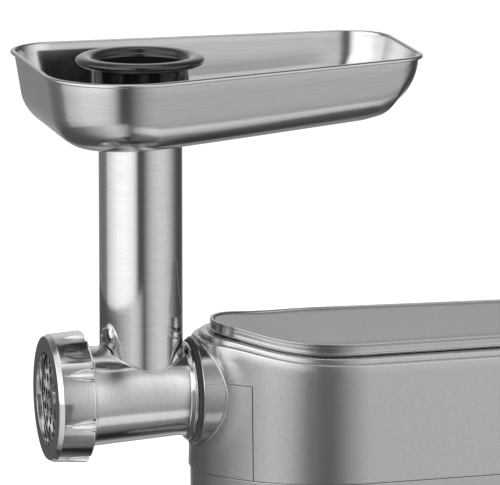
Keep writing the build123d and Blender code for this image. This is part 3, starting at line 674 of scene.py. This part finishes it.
for row in frame["record"]["subparts"]:
    node_materials = frame["nodes"][row["node"]].data.materials
    node_materials.clear()
    node_materials.append(looks[row["material_slot"]])


# ================ grinder head
def neck_radius(x):
    """Outside radius of the barrel's neck, which narrows towards the rear."""
    along = (x - tube_x) / MM
    return max(32.0 - 3.8 * (along + 35) / 55, 28.1) * MM


def shoulder_swell(x, y, height):
    """How far the casting swells beside the hopper tube's foot; height is measured from the axis."""
    turn = (atan2(abs(y), height) - radians(52)) / radians(25)
    run = (x - tube_x) / (24 * MM)
    return 3.3 * MM * exp(-turn * turn - run ** 4)


def make_barrel():
    """Barrel: turned neck with a rear flange, plate recess, bore and the opening under the hopper tube."""
    front = (barrel_front - tube_x) / MM
    outline = mm([
        (front, 31.1), (front, 35.4, 0.5), (-40, 35.4, 0.3), (-40, 33), (-35.2, 33, 0.5), (-35, 32, 0.3),
        *[(x, neck_radius(tube_x + x * MM) / MM) for x in range(-33, 25, 3)],
        (26.4, 28.4, 0.8), (27.8, 30.6, 0.5), (28.4, 31.4, 0.3), (30, 31.6, 0.5), (30, 21), (55.8, 21, 0.8),
        (55.8, 16), (24, 16), (24, 26.6), (-44, 26.6), (-44, 31.1),
    ], tube_x)
    throat = rod_tool((tube_x, 0, axis_z + 5 * MM), (tube_x, 0, axis_z + 45 * MM), tube_bore)
    points, faces = lathe_x(outline, 256)
    swollen = []
    for x, y, z in points:
        radius = hypot(y, z - axis_z)
        grown = 1.0
        if radius > 27.5 * MM:
            grown += shoulder_swell(x, y, z - axis_z) / radius
        swollen.append((x, y * grown, axis_z + (z - axis_z) * grown))
    piece("barrel_casting", (swollen, faces), "head", "polished_steel", ["barrel_body"], cuts=[throat])


def saddle_height(x, y):
    """Height at which an upright line at x, y leaves the barrel's neck."""
    height = sqrt(neck_radius(x) ** 2 - y * y)
    for _ in range(20):
        radius = neck_radius(x) + shoulder_swell(x, y, height)
        height = sqrt(radius * radius - y * y)
    return axis_z + height


def round_tube(radius, count):
    """Plan points on a circle about the hopper tube's axis."""
    return [(tube_x + radius * c, radius * s) for c, s in circle(count)]


def make_hopper_tube():
    """Upright tube whose foot follows the barrel, with its weld bead and a collar weld at the top."""
    top = high("hopper_tube").z - 0.05 * MM
    skins = []
    for radius in (tube_radius, tube_bore):
        plan_ring = round_tube(radius, 192)
        foot = [Vector((x, y, saddle_height(x, y) - 0.8 * MM)) for x, y in plan_ring]
        skins.append((foot, [Vector((x, y, top)) for x, y in plan_ring]))
    # rows between foot and top keep the shading even
    rows = 12
    wall = [[a * (1 - k / rows) + b * (k / rows) for a, b in zip(*skins[0])] for k in range(rows + 1)]
    piece("hopper_tube_wall", grid(wall + list(skins[1][::-1])), "head", "polished_steel", ["hopper_tube"],
          look="tube_steel")
    path = [Vector((x, y, saddle_height(x, y))) for x, y in round_tube(tube_radius + 0.15 * MM, 288)]
    outward = [Vector((c, s, 0.6)).normalized() for c, s in circle(288)]
    piece("saddle_weld", bead(path, outward, 0.62 * MM), "head", "polished_steel")
    unit = circle(160)
    radius = tube_radius + 0.1 * MM
    path = [Vector((tube_x + radius * c, radius * s, tray_underside(tube_x + tube_radius * c) - 0.35 * MM))
            for c, s in unit]
    piece("top_weld", bead(path, [Vector((c, s, 0)) for c, s in unit], 0.45 * MM), "head", "polished_steel")


def make_ring_nut():
    """Ring nut with a bright front chamfer and eight pointed finger grips cut from behind."""
    length = (nut_back - nut_front) / MM
    outer = nut_radius / MM
    outline = mm([
        (0, 29.2, 0.4), (0, outer - 2.9, 0.15), (0.4, outer - 2.5, 0.15), (3.3, outer - 1.25, 0.2),
        (length - 0.9, outer - 0.02, 0.5), (length, outer - 0.9, 0.4), (length, 35.7), (4, 35.7), (4, 29.8),
        (3.4, 29.2, 0.3),
    ], nut_front)
    grips = []
    steps = 14
    axis = nut_radius + 0.6 * MM
    for number in range(8):
        turn = radians(14 - 90 + 45 * number)
        rings = []
        for k in range(steps + 1):
            t = k / steps
            radius = max(5.0 * MM * sin(t * pi / 2) ** 0.85, 0.02 * MM)
            x = nut_back - 19.6 * MM + 20.2 * MM * t
            rings.append([(x, -axis * sin(turn) + radius * c, axis_z + axis * cos(turn) + radius * s)
                          for c, s in circle(40)])
        grips.append(prism(rings))
    piece("ring_nut_body", lathe_x(outline, 288), "ring_nut", "nut_steel", ["ring_nut"], cuts=grips,
          sharp=28.0)


# ================ tray and pusher
tray_corners = (
    # x and y from the tube, corner radius at the rim
    (-68.0, 90.0, 30.0), (-68.0, -102.0, 50.0), (180.0, -24.0, 24.0), (180.0, 90.0, 28.0),
)
tray_draft = radians(9.0)
# radius of the fold into the floor, at the corners and half way along the side after each
corner_folds = (26.0, 29.0, 40.0, 34.0)
side_folds = (27.0, 22.5, 38.0, 24.0)
arc_steps = 26
side_steps = 14
tray_skin = 1.0 * MM
floor_slope = tan(radians(2.6))


def tray_underside(x):
    """Height of the underside of the sloping floor."""
    return tray_floor + (x - tube_x) * floor_slope


def tray_outline(inset):
    """Plan of the tray drawn in from the rim: four arcs that tighten inwards, and the sides between them."""
    spots = [Vector((tube_x + x * MM, y * MM)) for x, y, _ in tray_corners]
    arcs = []
    for i, (_, _, rim_radius) in enumerate(tray_corners):
        back = (spots[i - 1] - spots[i]).normalized()
        ahead = (spots[(i + 1) % 4] - spots[i]).normalized()
        half = back.angle(ahead) / 2
        tightest = rim_radius * MM * 0.3
        play = rim_radius * MM - tightest
        radius = tightest + play * exp(-inset / play)
        middle = spots[i] + (back + ahead).normalized() * ((inset + radius) / sin(half))
        first = Vector((-back.y, back.x))
        arc = []
        for k in range(arc_steps + 1):
            a = (pi - 2 * half) * k / arc_steps
            normal = Vector((first.x * cos(a) - first.y * sin(a), first.x * sin(a) + first.y * cos(a)))
            arc.append(middle + normal * radius)
        arcs.append(arc)
    out = []
    for arc, after in zip(arcs, arcs[1:] + arcs[:1]):
        out += arc + [arc[-1] + (after[0] - arc[-1]) * (k / side_steps) for k in range(1, side_steps)]
    return out


def tray_folds():
    """Radius of the fold for every point of the plan."""
    folds = []
    whole = arc_steps + side_steps
    for i, (corner, side) in enumerate(zip(corner_folds, side_folds)):
        for k in range(whole):
            from_corner = abs(k - arc_steps / 2) / (whole / 2)
            next_side = side if k > arc_steps / 2 else side_folds[i - 1]
            t = (1 - cos(pi * min(1.0, from_corner))) / 2
            folds.append((corner * (1 - t) + next_side * t) * MM)
    return folds


def tray_section(skin, fold, depth):
    """Wall and fold of the tray as (inset, drop) pairs from the rim down."""
    depth = depth - skin
    fold = fold - skin
    hub = depth * tan(tray_draft) + skin + fold * tan((pi / 2 - tray_draft) / 2)
    wall_depth = depth - fold + fold * sin(tray_draft)
    section = [(wall_depth * k / 5 * tan(tray_draft) + skin, wall_depth * k / 5) for k in range(5)]
    for k in range(19):
        a = tray_draft + (pi / 2 - tray_draft) * k / 18
        section.append((hub - fold * cos(a), depth - fold + fold * sin(a)))
    section.append((hub + 1.0 * MM, depth))
    return section


def make_tray():
    """Stainless tray: rolled rim, drafted sides, deep folds and a floor that slopes to the tube."""
    step = 0.5 * MM
    plans = [tray_outline(k * step) for k in range(100)]
    folds = tray_folds()
    skins = []
    for skin in (0.0, tray_skin):
        columns = []
        for number, fold in enumerate(folds):
            start = plans[0][number]
            local = tray_rim - tray_underside(start.x + (tube_x - start.x) * 0.2)
            column = []
            for inset, drop in tray_section(skin, fold, local):
                k = int(inset / step)
                place = plans[k][number].lerp(plans[k + 1][number], inset / step - k)
                column.append((place.x, place.y, tray_rim - drop))
            x, y, _ = column[-1]
            column[-1] = (x, y, tray_underside(x) + skin)
            columns.append(column)
        skins.append([list(loop) for loop in zip(*columns)])
    outer, inner = skins
    rolled = soften(mm([
        (0.35, -2.3, 0.3), (-0.9, -2.6, 0.5), (-2.1, -2.3, 0.8), (-2.2, -0.8, 1.0), (-1.0, -0.02, 0.8),
        (0.5, -0.02, 0.5), (1.3, -1.2),
    ]), steps=4)
    rim = [[(spot.x, spot.y, tray_rim + height) for spot in tray_outline(inset)] for inset, height in rolled]
    hole = tube_bore - 0.4 * MM
    edges = []
    for skin, floor_ring in ((0.0, outer[-1]), (tray_skin, inner[-1])):
        edge = []
        for x, y, _ in floor_ring:
            away = Vector((x - tube_x, y)).normalized() * hole
            edge.append((tube_x + away.x, away.y, tray_underside(tube_x + away.x) + skin))
        edges.append(edge)
    loops = [edges[0]] + outer[:0:-1] + rim + inner[1:] + [edges[1]]
    piece("tray_pan", grid(loops), "tray", "satin_steel", ["feed_tray"], sharp=50.0)


def make_tray_collar():
    """Short collar under the tray's hole that drops into the hopper tube."""
    bottom = low("tray_collar").z
    top = (high("tray_collar").z - bottom) / MM
    outer = high("tray_collar").y / MM
    outline = mm([(outer, 0, 0.3), (outer, top, 0.2), (outer - 1, top, 0.3), (outer - 1, 0, 0.2)], 0, bottom)
    piece("tray_spigot", lathe_z(outline, tube_x), "tray", "polished_steel", ["tray_collar"],
          look="tube_steel")


def make_pusher():
    """Glossy black pusher: hollow cup with a thick rolled ring, on a plunger."""
    bottom = low("pusher_cup").z
    wide = 5.5
    tall = 3.2
    height = (high("pusher_cup").z - bottom) / MM
    ring_z = height - tall
    outline = [(0, 0), (29.7, 0), (31.2, 1.5), (31.2, ring_z + tall * sin(pi + 0.55) - 1.0)]
    steps = 44
    for k in range(steps):
        a = (pi + 0.75) + (2 * pi - 1.25) * k / steps
        outline.append((35.3 + wide * cos(a), ring_z + tall * sin(a)))
    outline += [(30.2, ring_z), (29.5, ring_z - 0.8), (28.7, ring_z - 1.4), (28.6, ring_z - 2.6), (28.2, 6.0),
                (26.2, 3.4), (24.6, 3.0), (0, 3.0)]
    cup = lathe_z(mm(outline, 0, bottom), tube_x, segments=224)
    piece("pusher_grip", cup, "pusher", "black_gloss", ["pusher_cup"], sharp=50.0)
    bottom = low("pusher_plunger").z
    top = (high("pusher_plunger").z - bottom) / MM
    radius = high("pusher_plunger").y / MM
    stem = mm([
        (0, 0), (radius, 0, 2.5), (radius, 40), (radius, top), (radius - 2.5, top), (radius - 2.5, 3, 1),
        (0, 3),
    ], 0, bottom)
    piece("pusher_stem", lathe_z(stem, tube_x), "pusher", "black_gloss", ["pusher_plunger"])


# ================ hub
def make_hub():
    """Painted collar with a parting groove, its rubber seal and the bright lip where it meets the housing."""
    radius = collar_radius / MM
    outline = mm([
        (0, radius - 2.0, 0.3), (0, radius, 1.3), (31, radius), (31, 23.5), (4.0, 23.5), (4.0, radius - 2.2),
    ], collar_front)
    groove_z = panel_top_z - 0.2 * MM
    slot = box_tool((collar_front + 1.2 * MM, -collar_radius - 5 * MM, groove_z - 0.22 * MM),
                    (collar_back, -collar_radius * 0.93, groove_z + 0.22 * MM))
    piece("hub_ring", lathe_x(outline, 224), "housing", "housing_paint", ["hub_collar"],
          look="rim_paint", cuts=[slot])
    back = (high("hub_seal").x - low("hub_seal").x) / MM
    outer = high("hub_seal").y / MM
    seal = mm([
        (0.4, 21.6), (0.4, 26, 0.4), (1.4, 27, 0.4), (1.4, 29, 0.4), (0, 30, 0.6), (0, outer - 0.8, 0.7),
        (1.6, outer, 0.6), (back, outer), (back, 21.6),
    ], low("hub_seal").x)
    piece("hub_lip_seal", lathe_x(seal, 160), "housing", "seal_rubber", ["hub_seal"])
    path = []
    outward = []
    ridge = collar_radius + 0.5 * MM
    for c, s in circle(220):
        y = ridge * c
        z = axis_z + ridge * s
        path.append(Vector((nose_surface_x(y, wall_growth(z) + boss_height(y, z)) + 0.2 * MM, y, z)))
        outward.append(Vector((-0.3, c, s)))
    piece("hub_rear_lip", bead(path, outward, 0.95 * MM), "housing", "rim_paint")


# ================ housing
nose_radius = 44.4 * MM
nose_turn = radians(32.5)
flank_radius = 101 * MM
closing = radians(2.8)
corner_radius = 30 * MM


def boss_height(y, z):
    """How far the nose swells round the hub, most at the hub's sides."""
    t = min(1.0, max(0.0, (48.0 * MM - hypot(y, z - axis_z)) / (11.0 * MM)))
    side = min(1.0, abs(y) / collar_radius)
    return 0.9 * MM * t * t * (3 - 2 * t) * side * side


def wall_growth(z):
    """How far the drafted side stands outside the plan's own outline at a height."""
    return 3.0 * MM * (1 - (z - split_z) / (88.7 * MM))


def nose_lift_at(x):
    """Lift of the top line, greatest at the nose."""
    run = max(0.0, x - tube_x - 43 * MM)
    return nose_lift * exp(-(run / (34.67 * MM)) ** 2)


def nose_surface_x(y, growth):
    """Front surface of the housing's nose and flanks at a sideways distance."""
    nose = nose_radius + growth
    middle = nose_tip_x + nose_radius
    if abs(y) <= nose * sin(nose_turn):
        return middle - sqrt(nose * nose - y * y)
    flank = flank_radius + growth
    shift = flank_radius - nose_radius
    return middle + shift * cos(nose_turn) - sqrt(flank * flank - (abs(y) + shift * sin(nose_turn)) ** 2)


def housing_outline():
    """Plan of the housing as (point, outward normal): nose, flanks, sides, rear corners and back."""
    def direction(a):
        """Outward normal at an angle from the nose tip."""
        return Vector((-cos(a), sin(a)))

    def arc(middle, radius, first, last, steps):
        """Points of an arc, all but its last."""
        normals = [direction(first + (last - first) * k / steps) for k in range(steps)]
        return [(middle + normal * radius, normal) for normal in normals]

    def run(start, end, normal, steps):
        """Points of a straight side, all but its last."""
        return [(start + (end - start) * (k / steps), normal) for k in range(steps)]

    side_angle = pi / 2 + closing
    side = direction(side_angle)
    nose_middle = Vector((nose_tip_x + nose_radius, 0))
    flank_middle = nose_middle - direction(nose_turn) * (flank_radius - nose_radius)
    widest = flank_middle + side * flank_radius
    inner = widest - side * corner_radius
    corner_middle = inner + Vector((1, -tan(closing))) * (rear_x - corner_radius - inner.x)
    back = corner_middle + direction(pi) * corner_radius
    half = arc(nose_middle, nose_radius, 0.0, nose_turn, 24)
    half += arc(flank_middle, flank_radius, nose_turn, side_angle, 62)
    half += run(widest, corner_middle + side * corner_radius, side, 8)
    half += arc(corner_middle, corner_radius, side_angle, pi, 16)
    half += run(back, Vector((back.x, 0)), direction(pi), 5)
    near = [(Vector((p.x, -p.y)), Vector((n.x, -n.y))) for p, n in reversed(half[1:])]
    return half + near


def sweep_housing(section, lifted=True, boss=False):
    """Sweep (growth, height over the shoulder) points, in mm, round the plan; the nose may be lifted."""
    rings = []
    for growth, z in soften(mm(section, 0, shoulder_z), steps=4):
        weight = 0.0
        if lifted:
            t = min(1.0, max(0.0, (z - shoulder_z + 60 * MM) / (53 * MM)))
            weight = t * t * (3 - 2 * t)
        ring = []
        for point, normal in plan:
            place = point + normal * growth
            height = z + weight * nose_lift_at(place.x)
            if boss and place.x < tube_x + 120 * MM:
                place = place + normal * boss_height(place.y, height)
            ring.append((place.x, place.y, height))
        rings.append(ring)
    return rings


plan = housing_outline()


def upper_shell():
    """Upper housing as one closed shell: drafted wall, rounded shoulder, crease and ledge under the rim."""
    bottom = (split_z - shoulder_z) / MM + 0.22
    rows = 58
    heights = [bottom + 0.8 - (8.8 + bottom) * k / rows for k in range(rows + 1)]
    first, *growths = [wall_growth(shoulder_z + z * MM) / MM for z in [bottom] + heights]
    section = [(first - 3, bottom), (first, bottom, 0.6), *zip(growths, heights)]
    section += [
        (0.42, 0, 3.3), (-3.2, 0, 0.2), (-3.35, -0.55, 0.15), (-3.85, -0.55, 0.15), (-4, 0.2, 0.3),
        (-4.25, 3, 1.7), (-9.2, 3, 0.5), (-9.6, 2.3, 0.3), (-13, 2.3), (-22, 2.3), (-22, -3), (-3.2, -3),
        (-2.6, -8),
    ]
    return grid(sweep_housing(section, boss=True))


def make_upper_housing():
    """Upper housing and the removable front panel round the hub, split by a fine gap."""
    gap = 0.45 * MM
    far = 0.4
    hub = ((tube_x, 0, axis_z), (panel_edge_x + 30 * MM, 0, axis_z), collar_radius + 0.12 * MM, 160)
    lock_at = centre("lock_button")
    lock_hole = rod_tool(lock_at - Vector((0, 20 * MM, 0)), lock_at + Vector((0, 30 * MM, 0)), 10.4 * MM)
    window = box_tool((-far, -far, 0), (panel_edge_x, far, panel_top_z))
    piece("upper_shell", upper_shell(), "housing", "housing_paint", ["upper_housing"],
          cuts=[rod_tool(*hub), window, lock_hole])
    behind = box_tool((panel_edge_x - gap, -far, 0), (far, far, far))
    above = box_tool((-far, -far, panel_top_z - gap), (far, far, far))
    piece("nose_panel", upper_shell(), "housing", "housing_paint", ["front_panel"],
          cuts=[rod_tool(*hub), behind, above])


def make_lower_housing():
    """Lower housing with rounded edges, rear air slots, inlet opening and holes for knob and button."""
    bottom = (base_z - shoulder_z) / MM
    top = (split_z - shoulder_z) / MM - 0.22
    section = [(-1.2, top), (1.8, top, 0.6)]
    rows = 6
    for k in range(1, rows):
        section.append((1.8 - 1.3 * k / rows, top + (bottom + 6 - top) * k / rows))
    section += [(0.5, bottom, 2.5), (-2.5, bottom, 0.4)]
    rear_cut = rear_x - 12 * MM
    rear_end = rear_x + 6 * MM
    ends = [(1.5 * cos(pi * k / 8), 22.5 + 1.5 * sin(pi * k / 8)) for k in range(9)]
    cuts = []
    for number in range(9):
        outline = mm(ends + [(-y, -z) for y, z in ends], (number - 4) * 6.5 * MM, 105 * MM)
        cuts.append(prism([[(x, y, z) for y, z in outline] for x in (rear_cut, rear_end)]))
    play = 0.1 * MM
    inlet_low = low("inlet_body")
    inlet_high = high("inlet_body")
    cuts.append(box_tool((rear_cut, inlet_low.y - play, inlet_low.z - play),
                         (rear_end, inlet_high.y + play, inlet_high.z + play)))
    for name, radius in (("knob_spindle", 3.4 * MM), ("reverse_button", 8.4 * MM)):
        at = centre(name)
        cuts.append(rod_tool((at.x, -95 * MM, at.z), (at.x, -50 * MM, at.z), radius))
    piece("lower_shell", grid(sweep_housing(section, lifted=False)), "housing", "lower_paint",
          ["lower_housing"], cuts=cuts)


def make_top():
    """Stepped rim with its bright bead, and the satin panel inside it."""
    section = [
        (-13, 2.9), (-13, 4), (-9.9, 4, 0.2), (-9.7, 4.6, 0.3), (-9.9, 5.1, 0.2), (-10.9, 5.2, 0.1), (-11, 7),
        (-11, 8.9, 0.2), (-11.5, 9.2, 0.1), (-11.5, 9.6, 0.1), (-10.9, 9.9, 0.5), (-10.95, 10.95, 0.8),
        (-12.9, 10.95, 0.8), (-13.5, 9.8, 0.3), (-13.6, 5), (-13.6, 2.9),
    ]
    piece("lid_rim", grid(sweep_housing(section)), "housing", "rim_paint", ["top_rim"])
    edge = [(-13.7, 5.1), (-13.7, 7.5), (-13.7, 9.6), (-13.95, 10), (-14.5, 10.15)]
    points, faces = grid(sweep_housing(edge), close_ends=False)
    count = len(plan)
    # the upper side and the underside are rows of points from the far edge to the near one
    for base in (0, len(points) - count):
        rows = [[base]]
        for k in range(1, count // 2 + 1):
            far = Vector(points[base + k])
            near = Vector(points[base + count - k])
            row = [base + k]
            if k < count // 2:
                for step in range(1, 8):
                    row.append(len(points))
                    points.append(far + (near - far) * (step / 8))
            rows.append(row + [base + count - k])
        faces.append(tuple(rows[-2] + rows[-1][::-1]))
        for last, row in zip(rows[:-2], rows[1:-1]):
            for a, b in enumerate(row[:-1]):
                nose = (last[a], last[a + 1]) if len(last) > 1 else (last[0],)
                faces.append((*nose, row[a + 1], b))
    piece("lid_panel", (points, faces), "housing", "panel_satin", ["top_panel"], sharp=50.0)


# ================ feet and controls
def make_feet():
    """Four rubber feet with a rounded edge and a shallow ring underneath."""
    for name in ("foot_front_near", "foot_front_far", "foot_rear_near", "foot_rear_far"):
        middle = centre(name)
        top = high(name).z / MM
        outline = mm([
            (0, 0.8), (5.5, 0.8, 0.4), (6.5, 0, 0.5), (10.5, 0, 1.6), (11.2, 6), (11.4, 8.6, 0.3),
            (10.8, 9.2, 0.3), (10.8, 9.8, 0.3), (11.8, 10.4, 0.4), (11.95, top), (0, top),
        ])
        pad = lathe_z(outline, middle.x, middle.y, 72)
        piece(name + "_pad", pad, "housing", "foot_rubber", [name])


def rounded_bar(lowest, highest, radius, segments=3, profile=0.5):
    """Box with rounded edges, as points and faces."""
    bm = bmesh.new()
    bmesh.ops.create_cube(bm, size=1.0)
    bmesh.ops.scale(bm, vec=[b - a for a, b in zip(lowest, highest)], verts=bm.verts)
    bmesh.ops.translate(bm, vec=[(a + b) / 2 for a, b in zip(lowest, highest)], verts=bm.verts)
    bmesh.ops.bevel(bm, geom=bm.edges[:], offset=radius, segments=segments, affect="EDGES", profile=profile)
    bm.verts.index_update()
    shape = ([tuple(v.co) for v in bm.verts], [tuple(v.index for v in f.verts) for f in bm.faces])
    bm.free()
    return shape


def side_surface_y(x, z):
    """Near side surface of the lower housing at x, z."""
    widest = max(p.y for p, _ in plan)
    widest_x = next(p.x for p, _ in plan if p.y == widest)
    growth = 0.5 * MM + 1.3 * MM * (z - base_z) / (split_z - base_z)
    return -(widest - (x - widest_x) * tan(closing) + growth)


def make_knob():
    """Speed knob: fluted skirt, rounded grip bar with a pale pointer, and rising dots round it."""
    at = centre("speed_knob")
    face = high("speed_knob").y
    front = low("speed_knob").y
    radius = high("speed_knob").x - at.x
    skirt = face - 6 * MM
    rim = radius / MM
    outline = [(face, 0), (face, radius, 0.6 * MM)] + mm([
        (1.0, rim - 0.4, 1.4), (0, rim - 3.0, 0.8), (0.5, 10, 2), (0.5, 0),
    ], skirt)
    flutes = []
    for c, s in circle(24):
        x = at.x + (radius + 1.2 * MM) * c
        z = at.z + (radius + 1.2 * MM) * s
        flutes.append(rod_tool((x, face + 2 * MM, z), (x, skirt - 2 * MM, z), 1.9 * MM, segments=24))
    reach = radius - 2.75 * MM
    bar = rounded_bar((at.x - 4.3 * MM, front, at.z - reach),
                      (at.x + 4.3 * MM, skirt + 1.5 * MM, at.z + reach), 2.0 * MM, 5, 0.6)
    dial = lathe_y(outline, at.x, at.z, 144)
    piece("speed_dial", dial, "speed_knob", "black_gloss", ["speed_knob"], look="dark_plastic", cuts=flutes,
          joins=[raw_object("bar", bar)])
    pointer = rounded_bar((at.x - 0.7 * MM, front + 0.1 * MM, at.z + 5 * MM),
                          (at.x + 0.7 * MM, front + 1.5 * MM, at.z + radius - 5 * MM), 0.3 * MM)
    piece("dial_pointer", pointer, "speed_knob", "black_gloss", look="pale_print")
    ring = radius + 9.5 * MM
    for number in range(9):
        a = radians(225 - 33.75 * number)
        spot = 0.75 + 0.08 * number
        x = at.x + ring * cos(a)
        z = at.z + ring * sin(a)
        outline = mm([(1, 0), (1, spot, 0.0), (-0.12, spot, 0.1), (-0.2, 0)], side_surface_y(x, z))
        piece("speed_dot_%d" % (number + 1), lathe_y(outline, x, z, 24), "housing", "lower_paint",
              look="dark_print")


def make_buttons():
    """Round reverse button with a dished face, and the lock button on the far side."""
    back, front = [(high(name).y - low(name).y) / MM for name in ("reverse_button", "lock_button")]
    reverse = [(back, 0), (back, 3), (back - 6, 3), (back - 6, 8, 0.3), (0, 8, 0.9), (0.1, 6.6, 0.5),
               (0.9, 4, 1), (1.1, 0)]
    lock = [(0, 0), (0, 3.5), (12, 3.5), (12, 10, 0.3), (front, 10, 1), (front - 0.1, 8.2, 0.5),
            (front - 1, 5, 1), (front - 1.2, 0)]
    for kind, outline in (("reverse", reverse), ("lock", lock)):
        name = kind + "_button"
        at = centre(name)
        piece(kind + "_cap", lathe_y(mm(outline, low(name).y), at.x, at.z), name, "dark_plastic", [name])


add_camera()
add_world()
add_stage()
add_reflector()
make_barrel()
make_hopper_tube()
make_ring_nut()
make_tray()
make_tray_collar()
make_pusher()
make_hub()
make_upper_housing()
make_lower_housing()
make_top()
make_feet()
make_knob()
make_buttons()
